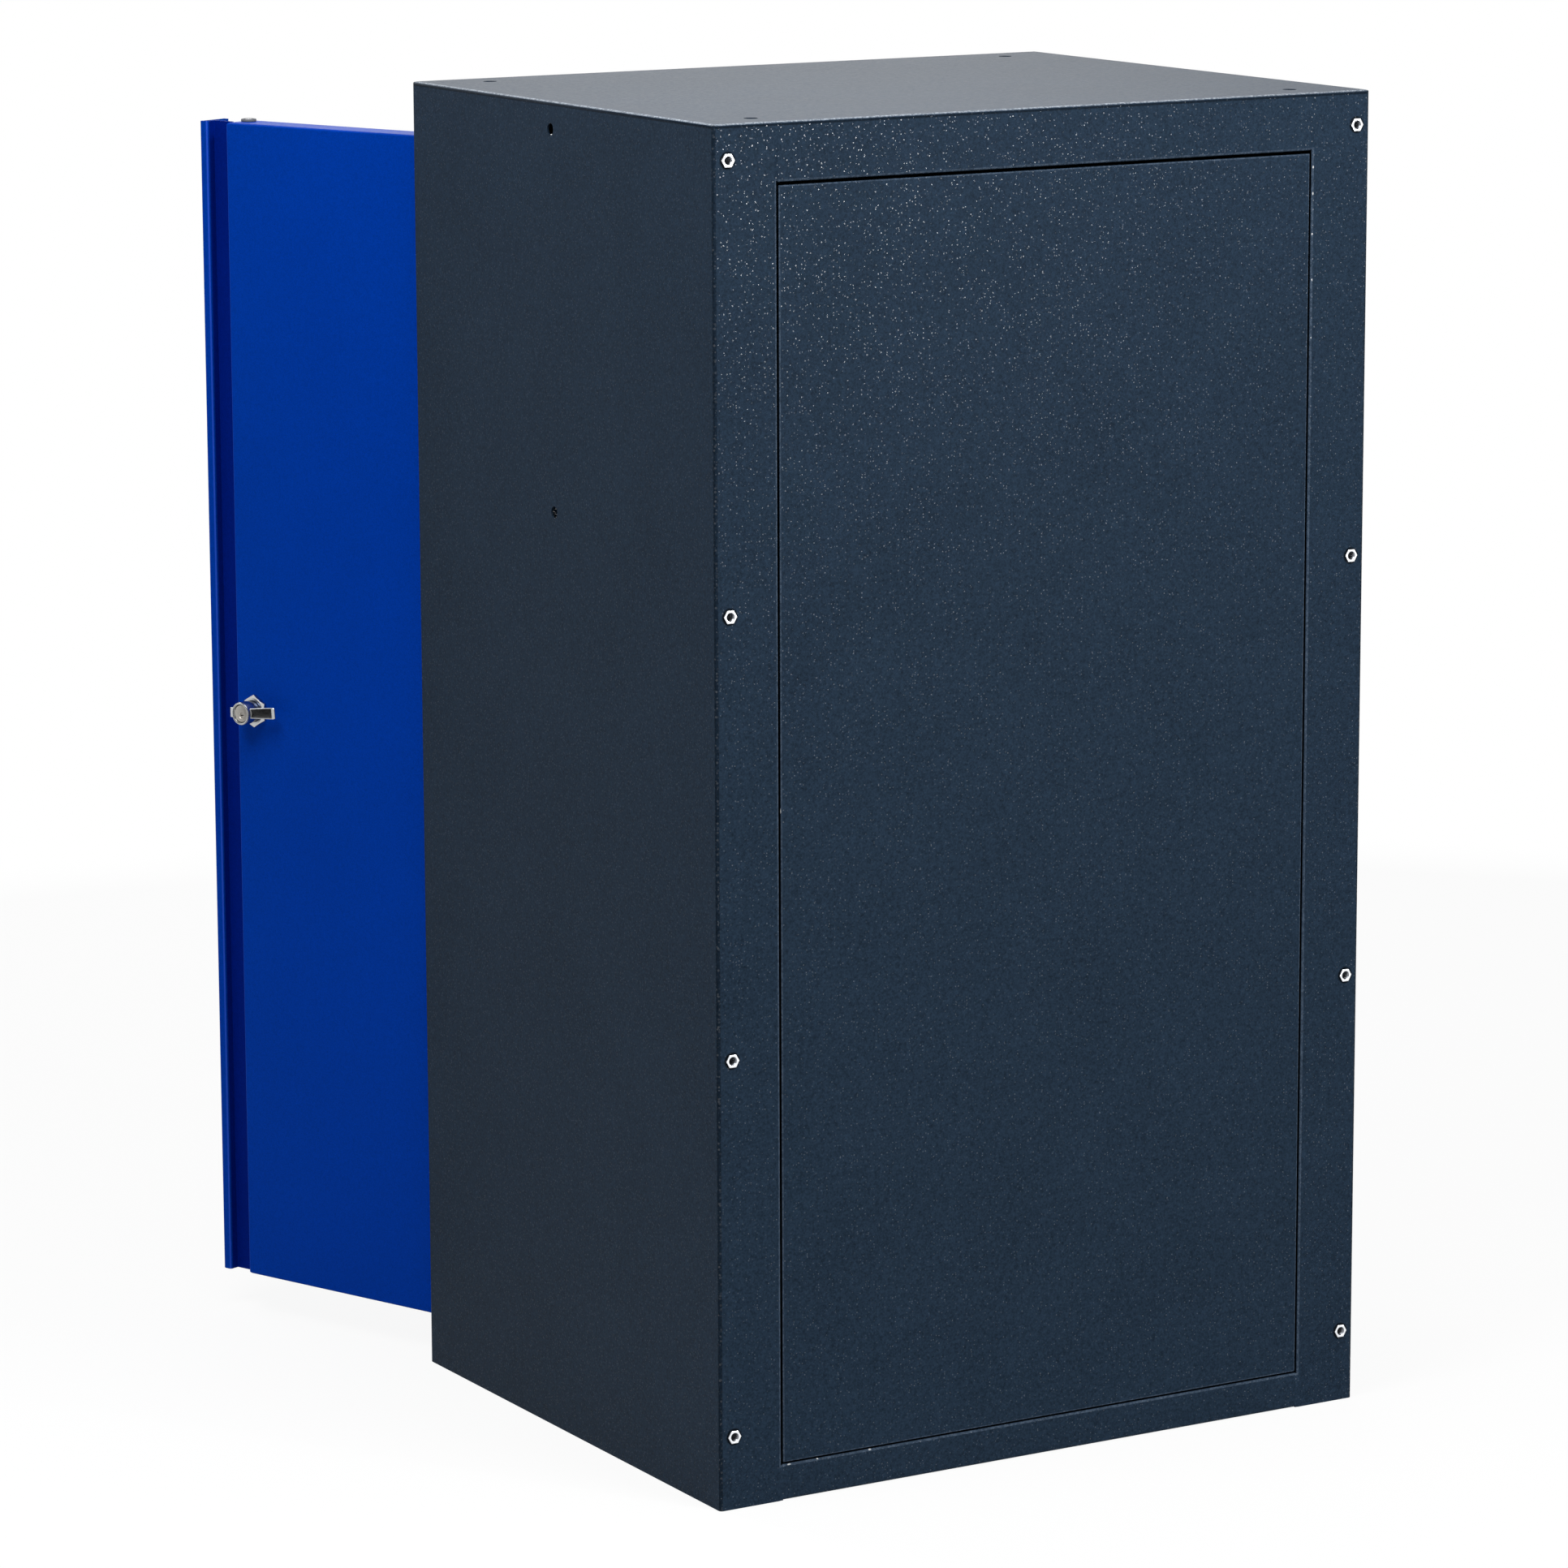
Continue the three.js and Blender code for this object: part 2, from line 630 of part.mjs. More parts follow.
// The strip of wall that a return fold takes the place of
function returnWaste(edge, towards) {
  return block(
    span(leafX(edge - towards * CUT), leafX(edge + towards * (DOOR_SHEET + LAP))),
    [leafY(DOOR_DEPTH - DOOR_BEND), leafY(DOOR_DEPTH + CUT)],
    [doorBottom + DOOR_CORNER, doorTop - DOOR_CORNER],
  );
}

function pinHoles() {
  return prismZ(circle(0, 0, PIN_RADIUS + RUNNING_GAP), [doorBottom - CUT, doorTop + CUT]);
}

// Right leaf: a folded pan whose free side runs on into the grip channel and the lip
function rightDoorPanel() {
  const heights = [doorBottom, doorTop];
  const overHeights = [doorBottom - CUT, doorTop + CUT];
  const mainEnd = leafX(mainWidth);
  const mainSpan = [mainEnd, leafX(0)];
  const middle = DOOR_SHEET / 2;
  const freeWall = block(
    [mainEnd - CUT, mainEnd + DOOR_SHEET],
    [leafY(GRIP_DEPTH - DOOR_BEND), leafY(DOOR_DEPTH + CUT)], overHeights,
  );
  const lipInside = leafX(mainWidth + GRIP_WIDTH + middle);
  const lipOutside = leafX(rightLeafWidth - middle);
  const grip = prismZ(foldedOutline([
    [mainEnd + middle, leafY(DOOR_BEND)],
    [mainEnd + middle, leafY(GRIP_DEPTH + middle)],
    [lipInside, leafY(GRIP_DEPTH + middle)],
    [lipInside, leafY(middle)],
    [lipOutside, leafY(middle)],
    [lipOutside, leafY(DOOR_DEPTH - middle)],
    [leafX(rightLeafWidth - LIP_RETURN), leafY(DOOR_DEPTH - middle)],
  ], DOOR_SHEET, DOOR_BEND), heights);
  const throughDepth = [leafY(-CUT), leafY(DOOR_DEPTH + CUT)];
  const cornerWaste = block([mainEnd, mainEnd + DOOR_CORNER], throughDepth, overHeights)
    .subtract(prismY(roundedRectangle(mainSpan, heights, DOOR_CORNER), throughDepth));
  const lipEnd = leafX(rightLeafWidth);
  const lipWaste = block([lipEnd, lipEnd + LIP_CORNER], throughDepth, overHeights)
    .subtract(prismY(roundedRectangle([lipEnd, leafX(0)], heights, LIP_CORNER), throughDepth));
  const rodX = bothSigns.map((side) => leafX(lockAcross + side * rodOffset));
  const rodHoleRadius = ROD_RADIUS + ROD_GUIDE_BORE_PLAY + ROD_GUIDE_WALL + WELD_GAP;
  const bottomRange = [doorBottom - CUT, doorBottom + CUT];
  const topRange = [doorTop - CUT, doorTop + CUT];
  return pan(mainSpan, heights, leafY(0), 1, doorFold)
    .subtract(freeWall).subtract(returnWaste(0, 1))
    .add(grip.subtract(cornerWaste).subtract(lipWaste)).add(returnFold(0, 1))
    .subtract(pinHoles())
    .subtract(prismZ(circle(rodX[0], leafY(ROD_DEPTH), rodHoleRadius), bottomRange))
    .subtract(prismZ(circle(rodX[1], leafY(ROD_DEPTH), rodHoleRadius), topRange))
    .subtract(prismY(
      circle(leafX(lockAcross), lockHeight, LOCK_BODY_RADIUS + SEAM_GAP), [leafY(-CUT), leafY(CUT)]));
}

// Left leaf: a folded pan with return folds at both upright sides
function leftDoorPanel() {
  return pan([leafX(leftLeafWidth), leafX(0)], [doorBottom, doorTop], leafY(0), 1, doorFold)
    .subtract(returnWaste(0, 1)).subtract(returnWaste(leftLeafWidth, -1))
    .add(returnFold(0, 1)).add(returnFold(leftLeafWidth, -1))
    .subtract(pinHoles());
}

// Hat section welded upright to the inside of a leaf
function stiffener() {
  const foot = leafY(DOOR_SHEET + WELD_GAP + DOOR_SHEET / 2);
  const crown = leafY(DOOR_SHEET + WELD_GAP + STIFFENER_DEPTH - DOOR_SHEET / 2);
  const side = (edge) => leafX(STIFFENER_FROM_HINGE + edge);
  const half = STIFFENER_WIDTH / 2;
  const outline = foldedOutline([
    [side(half + STIFFENER_FLANGE), foot], [side(half), foot], [side(half), crown],
    [side(-half), crown], [side(-half), foot], [side(-half - STIFFENER_FLANGE), foot],
  ], DOOR_SHEET, DOOR_BEND);
  return prismZ(outline, [doorBottom + STIFFENER_END_GAP, doorTop - STIFFENER_END_GAP]);
}

// Strip on the left leaf's free edge that the right leaf shuts against
function overlapStrip() {
  const middle = leafY(DOOR_DEPTH + STRIP_CLEAR + STRIP_SHEET / 2);
  const outline = foldedOutline([
    [leafX(leftLeafWidth - STRIP_LAP), middle],
    [leafX(leftLeafWidth + STRIP_REACH), middle],
    [leafX(leftLeafWidth + STRIP_REACH), middle + STRIP_TURN],
  ], STRIP_SHEET, STRIP_BEND);
  return prismZ(outline, [doorBottom + STRIP_END_GAP, doorTop - STRIP_END_GAP]);
}

// Pivot pin from the inside of a leaf's flange; up is 1 at the top and -1 at the bottom
function pivotPin(up) {
  const flange = up > 0 ? doorTop - DOOR_SHEET : doorBottom + DOOR_SHEET;
  const seat = flange - up * WELD_GAP;
  const end = (up > 0 ? frontOpeningTop : BASE_BAND) + up * PIN_REACH;
  return turnedZ([
    [0, seat - up * PIN_HEAD],
    [PIN_HEAD_RADIUS, seat - up * PIN_HEAD],
    [PIN_HEAD_RADIUS, seat],
    [PIN_RADIUS, seat],
    [PIN_RADIUS, end - up * PIN_CHAMFER],
    [PIN_RADIUS - PIN_CHAMFER, end],
    [0, end],
  ], SMALL_STEPS);
}

// Flanged bush for a pivot pin in the lip above or below the opening
function pivotBush(up) {
  const lip = up > 0 ? frontOpeningTop : BASE_BAND;
  const leaf = up > 0 ? doorTop : doorBottom;
  const bore = PIN_RADIUS + RUNNING_GAP;
  const seat = lip - up * WELD_GAP;
  return turnedZ([
    [bore, leaf + up * SEAM_GAP],
    [BUSH_FLANGE_RADIUS, leaf + up * SEAM_GAP],
    [BUSH_FLANGE_RADIUS, seat],
    [BUSH_RADIUS, seat],
    [BUSH_RADIUS, lip + up * BUSH_REACH],
    [bore, lip + up * BUSH_REACH],
    [bore, leaf + up * SEAM_GAP],
  ], SMALL_STEPS);
}

// Flanged bush that guides a rod through the leaf's top or bottom flange
function rodGuide(up) {
  const flange = up > 0 ? doorTop : doorBottom;
  const bore = ROD_RADIUS + ROD_GUIDE_BORE_PLAY;
  const seat = flange + up * WELD_GAP;
  const rim = seat + up * ROD_GUIDE_RIM;
  const inside = flange - up * ROD_GUIDE_REACH;
  const guide = turnedZ([
    [bore, inside],
    [bore + ROD_GUIDE_WALL, inside],
    [bore + ROD_GUIDE_WALL, seat],
    [ROD_GUIDE_RIM_RADIUS, seat],
    [ROD_GUIDE_RIM_RADIUS, rim],
    [bore, rim],
    [bore, inside],
  ], SMALL_STEPS);
  return geometryOf(guide).translate(leafX(lockAcross + up * rodOffset), leafY(ROD_DEPTH), 0);
}

// Bracket that holds a rod against the inside of the leaf
function rodBracket(up) {
  const rodX = leafX(lockAcross + up * rodOffset);
  const half = ROD_BRACKET_SHEET / 2;
  const leg = ROD_RADIUS + ROD_GUIDE_BORE_PLAY + half;
  const crown = leafY(ROD_DEPTH + leg);
  const foot = leafY(DOOR_SHEET + WELD_GAP + half);
  const outline = foldedOutline([
    [rodX - leg, leafY(ROD_DEPTH - ROD_RADIUS)],
    [rodX - leg, crown],
    [rodX + leg, crown],
    [rodX + leg, foot],
    [rodX + leg + ROD_BRACKET_FOOT, foot],
  ], ROD_BRACKET_SHEET, ROD_BRACKET_BEND);
  const height = lockHeight + up * ROD_BRACKET_DISTANCE;
  return prismZ(outline, [height - ROD_BRACKET_HEIGHT / 2, height + ROD_BRACKET_HEIGHT / 2]);
}

// Rod with a round bar at the leaf's edge and a flattened, slotted end behind the crank pins
function lockRod(up) {
  const rodX = leafX(lockAcross + up * rodOffset);
  const slotHeight = lockHeight - up * crankOffset;
  const tail = CRANK_PIN_RADIUS + ROD_SLOT_PLAY + ROD_PLATE_TAIL;
  const level = (rise) => lockHeight + up * rise;
  const plate = prismX(foldedOutline([
    [leafY(rodPlateMiddle), slotHeight - up * tail],
    [leafY(rodPlateMiddle), level(ROD_JOGGLE_START)],
    [leafY(ROD_DEPTH), level(ROD_JOGGLE_END)],
    [leafY(ROD_DEPTH), level(ROD_PLATE_END)],
  ], ROD_PLATE_SHEET, ROD_PLATE_BEND), [rodX - ROD_PLATE_WIDTH / 2, rodX + ROD_PLATE_WIDTH / 2]);
  const halfSlot = (CRANK_RADIUS - crankOffset) / 2 + CRANK_PIN_RADIUS + ROD_SLOT_PLAY;
  const slotReach = CRANK_PIN_RADIUS + ROD_SLOT_PLAY;
  const slot = prismY(
    roundedRectangle([rodX - halfSlot, rodX + halfSlot],
      [slotHeight - slotReach, slotHeight + slotReach], CRANK_PIN_RADIUS),
    [leafY(0), leafY(DOOR_DEPTH + CUT)],
  );
  const waistStart = level((ROD_JOGGLE_END + ROD_PLATE_END) / 2);
  const waistEnd = level(ROD_PLATE_END + LAP);
  const shoulders = bothSigns.map((side) => prismY([
    [rodX + side * ROD_RADIUS, waistEnd],
    [rodX + side * (ROD_PLATE_WIDTH / 2 + LAP), waistEnd],
    [rodX + side * (ROD_PLATE_WIDTH / 2 + LAP), waistStart],
    [rodX + side * ROD_PLATE_WIDTH / 2, waistStart],
  ], [leafY(0), leafY(DOOR_DEPTH)]));
  const edge = up > 0 ? doorTop : doorBottom;
  const tip = edge + up * (WELD_GAP + ROD_GUIDE_RIM - SEAM_GAP);
  const start = level(ROD_JOGGLE_END + ROD_PLATE_SHEET);
  const bar = geometryOf(turnedZ([
    [0, start],
    [ROD_RADIUS, start + up * ROD_RADIUS],
    [ROD_RADIUS, tip - up * ROD_TIP_CHAMFER],
    [ROD_RADIUS - ROD_TIP_CHAMFER, tip],
    [0, tip],
  ])).translate(rodX, leafY(ROD_DEPTH), 0);
  return plate.subtract(slot).subtract(join(shoulders)).add(solid(bar));
}

// Lock pieces turn about an axis along Y whose zero is the leaf's outer face

// Hexagonal collar at the foot of the lock, with chamfered corners
function lockCollar() {
  const back = -WELD_GAP;
  const front = back - COLLAR_LENGTH;
  const corner = COLLAR_FLATS / Math.sqrt(3);
  const prism = prismY(hexagon(0, 0, COLLAR_FLATS, true), [front, back]);
  const cone = turnedY([
    [0, front],
    [corner - 2 * COLLAR_CHAMFER, front],
    [corner, front + COLLAR_CHAMFER],
    [corner, back],
    [0, back],
  ]);
  const bore = prismY(circle(0, 0, LOCK_BODY_RADIUS + RUNNING_GAP), [front - CUT, back + CUT]);
  return prism.intersect(cone).subtract(bore);
}

// Fixed housing: a smooth barrel outside, a threaded body through the leaf, a bore for the shaft
function lockHousing() {
  const shoulder = -WELD_GAP - COLLAR_LENGTH - WELD_GAP;
  const bore = SHAFT_RADIUS + RUNNING_GAP;
  return turnedY([
    [bore, -BARREL_LENGTH],
    [BARREL_RADIUS, -BARREL_LENGTH],
    [BARREL_RADIUS, shoulder],
    [LOCK_BODY_RADIUS, shoulder],
    [LOCK_BODY_RADIUS, LOCK_BODY_LENGTH],
    [bore, LOCK_BODY_LENGTH],
    [bore, -BARREL_LENGTH],
  ]);
}

function lockNut() {
  const front = DOOR_SHEET + WELD_GAP;
  const back = front + NUT_LENGTH;
  const corner = NUT_FLATS / Math.sqrt(3);
  const cone = turnedY([
    [0, front],
    [corner, front],
    [corner, back - NUT_CHAMFER],
    [corner - 2 * NUT_CHAMFER, back],
    [0, back],
  ]);
  const bore = prismY(circle(0, 0, LOCK_BODY_RADIUS + RUNNING_GAP), [front - CUT, back + CUT]);
  return prismY(hexagon(0, 0, NUT_FLATS, true), [front, back]).intersect(cone).subtract(bore);
}

const knobBack = -BARREL_LENGTH - SEAM_GAP;
const knobFront = knobBack - KNOB_LENGTH;
const shaftEnd = LOCK_BODY_LENGTH + SEAM_GAP + LAP;

// Turning knob with its lever arm, its short tail and the shaft that carries the cam
function leverHandle() {
  const knob = turnedY([
    [0, knobFront],
    [KNOB_RADIUS - KNOB_CHAMFER, knobFront],
    [KNOB_RADIUS, knobFront + KNOB_CHAMFER],
    [KNOB_RADIUS, knobBack],
    [SHAFT_RADIUS, knobBack],
    [SHAFT_RADIUS, shaftEnd],
    [0, shaftEnd],
  ]);
  const armFront = knobFront + LEVER_FRONT_GAP;
  const slope = prismZ([
    [0, armFront],
    [LEVER_LENGTH, armFront + LEVER_SETBACK],
    [LEVER_LENGTH, armFront + LEVER_SETBACK + LEVER_THICKNESS / 2],
    [KNOB_RADIUS, armFront + LEVER_THICKNESS],
    [0, armFront + LEVER_THICKNESS],
  ], [-LEVER_TIP, LEVER_TIP]);
  const tipCentre = LEVER_LENGTH - LEVER_TIP / 2;
  const tipArc = Array.from({ length: 2 * BEND_STEPS + 1 }, (_, i) => {
    const angle = (i / BEND_STEPS - 1) * Math.PI / 2;
    return [tipCentre + LEVER_TIP / 2 * Math.cos(angle), LEVER_TIP / 2 * Math.sin(angle)];
  });
  const taper = prismY([[0, -LEVER_ROOT / 2], ...tipArc, [0, LEVER_ROOT / 2]],
    [armFront - CUT, knobBack + CUT]);
  const tail = block([-KNOB_RADIUS - TAIL_REACH, 0], [armFront, armFront + LEVER_THICKNESS],
    [-TAIL_HEIGHT / 2, TAIL_HEIGHT / 2]);
  const plugBore = prismY(circle(0, 0, PLUG_RADIUS + RUNNING_GAP),
    [knobFront - CUT, knobBack - KNOB_FLOOR]);
  const screwBore = prismY(circle(0, 0, CAM_SCREW_RADIUS + WELD_GAP),
    [camFace - CAM_SCREW_LENGTH - SEAM_GAP, shaftEnd + CUT]);
  const arm = slope.intersect(taper).rotate([0, -LEVER_TILT_DEGREES, 0]);
  return join([knob, arm, tail]).subtract(plugBore).subtract(screwBore);
}

// Cylinder that the key turns inside the knob
function keyPlug() {
  const front = knobFront + PLUG_SINK;
  const back = knobBack - KNOB_FLOOR - SEAM_GAP;
  const plug = turnedY([
    [0, front],
    [PLUG_RADIUS - PLUG_GROOVE, front],
    [PLUG_RADIUS, front + PLUG_GROOVE],
    [PLUG_RADIUS, back],
    [0, back],
  ]);
  const keyway = block([-KEYWAY_LENGTH / 2, KEYWAY_LENGTH / 2], [front - CUT, front + KEYWAY_DEPTH],
    [-KEYWAY_HEIGHT / 2, KEYWAY_HEIGHT / 2]);
  return plug.subtract(keyway);
}

// The crank pins stand on opposite sides of the axis, below the level line at the free edge
const crankPlaces = bothSigns.map((side) => [side * crankOffset, side * crankOffset]);

// Two-armed cam on the shaft, with a crank pin for each rod
function lockCam() {
  const back = camFace - CAM_SHEET;
  const reach = CRANK_RADIUS + CAM_WIDTH / 2;
  const turned = (a, b) => [(a - b) * Math.SQRT1_2, (a + b) * Math.SQRT1_2];
  const outline = roundedRectangle([-reach, reach], [-CAM_WIDTH / 2, CAM_WIDTH / 2],
    CAM_WIDTH / 2 - LAP).map(([a, b]) => turned(a, b));
  const pins = crankPlaces.map(([x, z]) => prismY(
    circle(x, z, CRANK_PIN_RADIUS), [back + LAP, camFace + CRANK_PIN_LENGTH]));
  const seat = turnedY([
    [0, back - CUT],
    [CAM_SCREW_RADIUS + RUNNING_GAP, back - CUT],
    [CAM_SCREW_RADIUS + RUNNING_GAP, camFace - CAM_SCREW_HEAD],
    [CAM_SCREW_HEAD_RADIUS + RUNNING_GAP, camFace],
    [CAM_SCREW_HEAD_RADIUS + RUNNING_GAP, camFace + CUT],
    [0, camFace + CUT],
  ]);
  return join([prismY(outline, [back + WELD_GAP, camFace]), ...pins]).subtract(seat);
}

// Countersunk screw with a hexagonal socket, from the cam into the shaft
function camScrew() {
  const screw = turnedY([
    [0, camFace - CAM_SCREW_LENGTH],
    [CAM_SCREW_RADIUS, camFace - CAM_SCREW_LENGTH],
    [CAM_SCREW_RADIUS, camFace - CAM_SCREW_HEAD - WELD_GAP],
    [CAM_SCREW_HEAD_RADIUS, camFace - WELD_GAP],
    [0, camFace - WELD_GAP],
  ]);
  const socket = prismY(hexagon(0, 0, 2 * CAM_SCREW_SOCKET_RADIUS, true),
    [camFace - CAM_SCREW_SOCKET_DEPTH, camFace + CUT]);
  return screw.subtract(socket);
}

// Plate behind a lip that takes the rod's tip when the lock is shut
function rodKeeper(up) {
  const x = up > 0 ? topRodX : bottomRodX;
  const lip = up > 0 ? frontOpeningTop + BODY_SHEET : BASE_BAND - BODY_SHEET;
  const heights = span(lip + up * WELD_GAP, lip + up * (WELD_GAP + KEEPER_SHEET));
  const front = BODY_BEND - halfDepth;
  const outline = roundedRectangle([x - KEEPER_WIDTH / 2, x + KEEPER_WIDTH / 2],
    [front, front + KEEPER_DEPTH], KEEPER_SHEET);
  const hole = circle(x, rodY, ROD_RADIUS + KEEPER_PLAY);
  return prismZ(outline, heights).subtract(prismZ(hole, [heights[0] - CUT, heights[1] + CUT]));
}

const railFace = wallInside - WELD_GAP - RAIL_DEPTH;
const railBottom = BASE_BAND + RAIL_END_GAP;
const railTop = rearOpeningTop - RAIL_END_GAP;
const railY = halfDepth - RAIL_FROM_END;
const slotHeight = CLIP_SHEET + 2 * SLOT_PLAY;
const slotCount = Math.floor((railTop - railBottom - 2 * SLOT_FIRST) / SLOT_PITCH) + 1;

function slotLevel(index) {
  return railBottom + SLOT_FIRST + index * SLOT_PITCH;
}

// Upright rail on the side wall with a ladder of slots for the shelf clips
function shelfRail(y) {
  const flange = wallInside - WELD_GAP - RAIL_SHEET / 2;
  const web = railFace + RAIL_SHEET / 2;
  const half = RAIL_WIDTH / 2;
  const outline = foldedOutline([
    [flange, y - half - RAIL_FLANGE], [flange, y - half], [web, y - half],
    [web, y + half], [flange, y + half], [flange, y + half + RAIL_FLANGE],
  ], RAIL_SHEET, RAIL_BEND);
  const slots = Array.from({ length: slotCount }, (_, i) => block(
    [railFace - CUT, railFace + RAIL_DEPTH / 2],
    [y - SLOT_WIDTH / 2, y + SLOT_WIDTH / 2],
    [slotLevel(i) - slotHeight / 2, slotLevel(i) + slotHeight / 2],
  ));
  return prismZ(outline, [railBottom, railTop]).subtract(join(slots));
}

// Clip that hooks through a slot and holds up a corner of a shelf
function shelfClip(y, level) {
  const behind = railFace + RAIL_SHEET + RUNNING_GAP + CLIP_BEND;
  const outline = foldedOutline([
    [railFace - CLIP_TONGUE, level],
    [behind, level],
    [behind, level + CLIP_HOOK],
  ], CLIP_SHEET, CLIP_BEND);
  return prismY(outline, [y - CLIP_WIDTH / 2, y + CLIP_WIDTH / 2]);
}

// Shelf with its front and rear edges folded down and in
function shelf(level) {
  const middle = SHELF_SHEET / 2;
  const plate = level + CLIP_SHEET / 2 + WELD_GAP + middle;
  const front = DOOR_DEPTH + SHELF_DOOR_GAP - halfDepth + middle;
  const rear = halfDepth - REAR_LIP - SHELF_REAR_GAP - middle;
  const low = plate + middle - SHELF_FOLD + middle;
  const outline = foldedOutline([
    [front + SHELF_RETURN, low], [front, low], [front, plate],
    [rear, plate], [rear, low], [rear - SHELF_RETURN, low],
  ], SHELF_SHEET, SHELF_BEND);
  const half = railFace - SHELF_SIDE_GAP;
  return prismX(outline, [-half, half]);
}

const catchCentre = -CATCH_FROM_FREE_EDGE - LIP_PAST_MIDDLE - LEAF_GAP;

// Magnetic catch under the top lip, with two ears and two pole plates
function magnetCatch() {
  const top = frontOpeningTop - WELD_GAP;
  const front = DOOR_DEPTH + CATCH_AIR_GAP + CATCH_POLE_REACH - halfDepth;
  const rear = front + CATCH_DEPTH;
  const half = CATCH_WIDTH / 2;
  const housing = roundedBlock([catchCentre - half, catchCentre + half], [front, rear],
    [top - CATCH_HEIGHT, top], CATCH_ROUNDING, CATCH_ROUNDING, CATCH_ROUNDING);
  const earSpan = [catchCentre - half - CATCH_EAR, catchCentre + half + CATCH_EAR];
  const ears = prismZ(roundedRectangle(earSpan, [front, rear], CATCH_DEPTH / 2 - LAP),
    [top - CATCH_EAR_SHEET, top]);
  const holes = holesAlongZ(bothSigns.map((side) => (
    [catchCentre + side * (half + CATCH_EAR / 2), (front + rear) / 2])),
  CATCH_HOLE_RADIUS, [top - CATCH_HEIGHT, top + CUT]);
  const poleTop = top - (CATCH_HEIGHT - CATCH_POLE_HEIGHT) / 2;
  const poles = bothSigns.map((side) => {
    const x = catchCentre + side * CATCH_WIDTH / 4;
    return block([x - CATCH_POLE_SHEET / 2, x + CATCH_POLE_SHEET / 2],
      [front - CATCH_POLE_REACH, front + LAP], [poleTop - CATCH_POLE_HEIGHT, poleTop]);
  });
  return join([housing, ears, ...poles]).subtract(holes);
}

// Angle under the left leaf's top flange that the magnet pulls on
function catchStrike() {
  const foot = doorTop - DOOR_SHEET - WELD_GAP - STRIKE_SHEET / 2;
  const face = leafY(DOOR_DEPTH - STRIKE_SHEET / 2);
  const outline = foldedOutline([
    [face - STRIKE_FOOT, foot], [face, foot], [face, foot - STRIKE_LEG],
  ], STRIKE_SHEET, STRIKE_BEND);
  const centre = leafX(leftLeafWidth - CATCH_FROM_FREE_EDGE);
  return prismX(outline, [centre - STRIKE_WIDTH / 2, centre + STRIKE_WIDTH / 2]);
}

function carcass() {
  const group = new THREE.Group();
  group.add(part('outer_shell', outerShell(), bodyPaint));
  group.add(part('bottom_panel', bottomPanel(), bodyPaint));
  group.add(part('back_panel', backPanel(), bodyPaint));
  [['left', -1], ['right', 1]].forEach(([side, x]) => {
    insertHeights.forEach((z, row) => {
      group.add(part(`threaded_insert_${side}_${row + 1}`, threadedInsert(x * insertX, z), zinc));
    });
  });
  return group;
}

function interior() {
  const group = new THREE.Group();
  const shelfRows = SHELF_HEIGHT_SHARES.map((share) => Math.round(share * (slotCount - 1)));
  [['front', -railY], ['rear', railY]].forEach(([place, y]) => {
    const rail = geometryOf(shelfRail(y));
    group.add(part(`shelf_rail_right_${place}`, rail, bodyPaint));
    group.add(part(`shelf_rail_left_${place}`, mirrored(rail), bodyPaint));
    shelfRows.forEach((row, i) => {
      const clip = geometryOf(shelfClip(y, slotLevel(row)));
      group.add(part(`shelf_clip_${i + 1}_right_${place}`, clip, zinc));
      group.add(part(`shelf_clip_${i + 1}_left_${place}`, mirrored(clip), zinc));
    });
  });
  shelfRows.forEach((row, i) => {
    group.add(part(`shelf_${i + 1}`, shelf(slotLevel(row)), bodyPaint));
  });
  group.add(part('magnet_catch', magnetCatch(), plastic));
  [['top', 1], ['bottom', -1]].forEach(([place, up]) => {
    const bush = geometryOf(pivotBush(up)).translate(pivotX, pivotY, 0);
    group.add(part(`pivot_bush_right_${place}`, bush, plastic));
    group.add(part(`pivot_bush_left_${place}`, mirrored(bush), plastic));
    group.add(part(`rod_keeper_${place}`, rodKeeper(up), zinc));
  });
  return group;
}

function lock() {
  const group = new THREE.Group();
  group.position.set(leafX(lockAcross), leafY(0), lockHeight);
  group.add(part('lock_collar', lockCollar(), chrome));
  group.add(part('lock_housing', lockHousing(), chrome));
  group.add(part('lock_nut', lockNut(), zinc));
  group.add(part('lever_handle', leverHandle(), chrome));
  group.add(part('key_plug', keyPlug(), chrome));
  group.add(part('lock_cam', lockCam(), zinc));
  group.add(part('cam_screw', camScrew(), zinc));
  return group;
}

// Right leaf about its pivot, standing open
function rightDoor() {
  const group = new THREE.Group();
  group.position.set(pivotX, pivotY, 0);
  group.rotation.z = OPEN_ANGLE;
  group.add(part('right_door_panel', rightDoorPanel(), doorPaint));
  group.add(part('right_door_stiffener', stiffener(), doorPaint));
  [['top', 1], ['bottom', -1]].forEach(([place, up]) => {
    group.add(part(`right_pivot_pin_${place}`, pivotPin(up), zinc));
    group.add(part(`rod_guide_${place}`, rodGuide(up), plastic));
    group.add(part(`rod_bracket_${place}`, rodBracket(up), zinc));
    group.add(part(`${place}_rod`, lockRod(up), zinc));
  });
  group.add(lock());
  return group;
}

// Left leaf about its pivot, shut; its pieces are the mirror image of the right side's
function leftDoor() {
  const group = new THREE.Group();
  group.position.set(-pivotX, pivotY, 0);
  const flipped = (name, body, finish) => part(name, mirrored(geometryOf(body)), finish);
  group.add(flipped('left_door_panel', leftDoorPanel(), doorPaint));
  group.add(flipped('left_door_stiffener', stiffener(), doorPaint));
  group.add(flipped('overlap_strip', overlapStrip(), doorPaint));
  group.add(flipped('catch_strike', catchStrike(), zinc));
  group.add(flipped('left_pivot_pin_top', pivotPin(1), zinc));
  group.add(flipped('left_pivot_pin_bottom', pivotPin(-1), zinc));
  return group;
}

const cabinet = new THREE.Group();
cabinet.add(carcass(), interior(), rightDoor(), leftDoor());

export default cabinet;
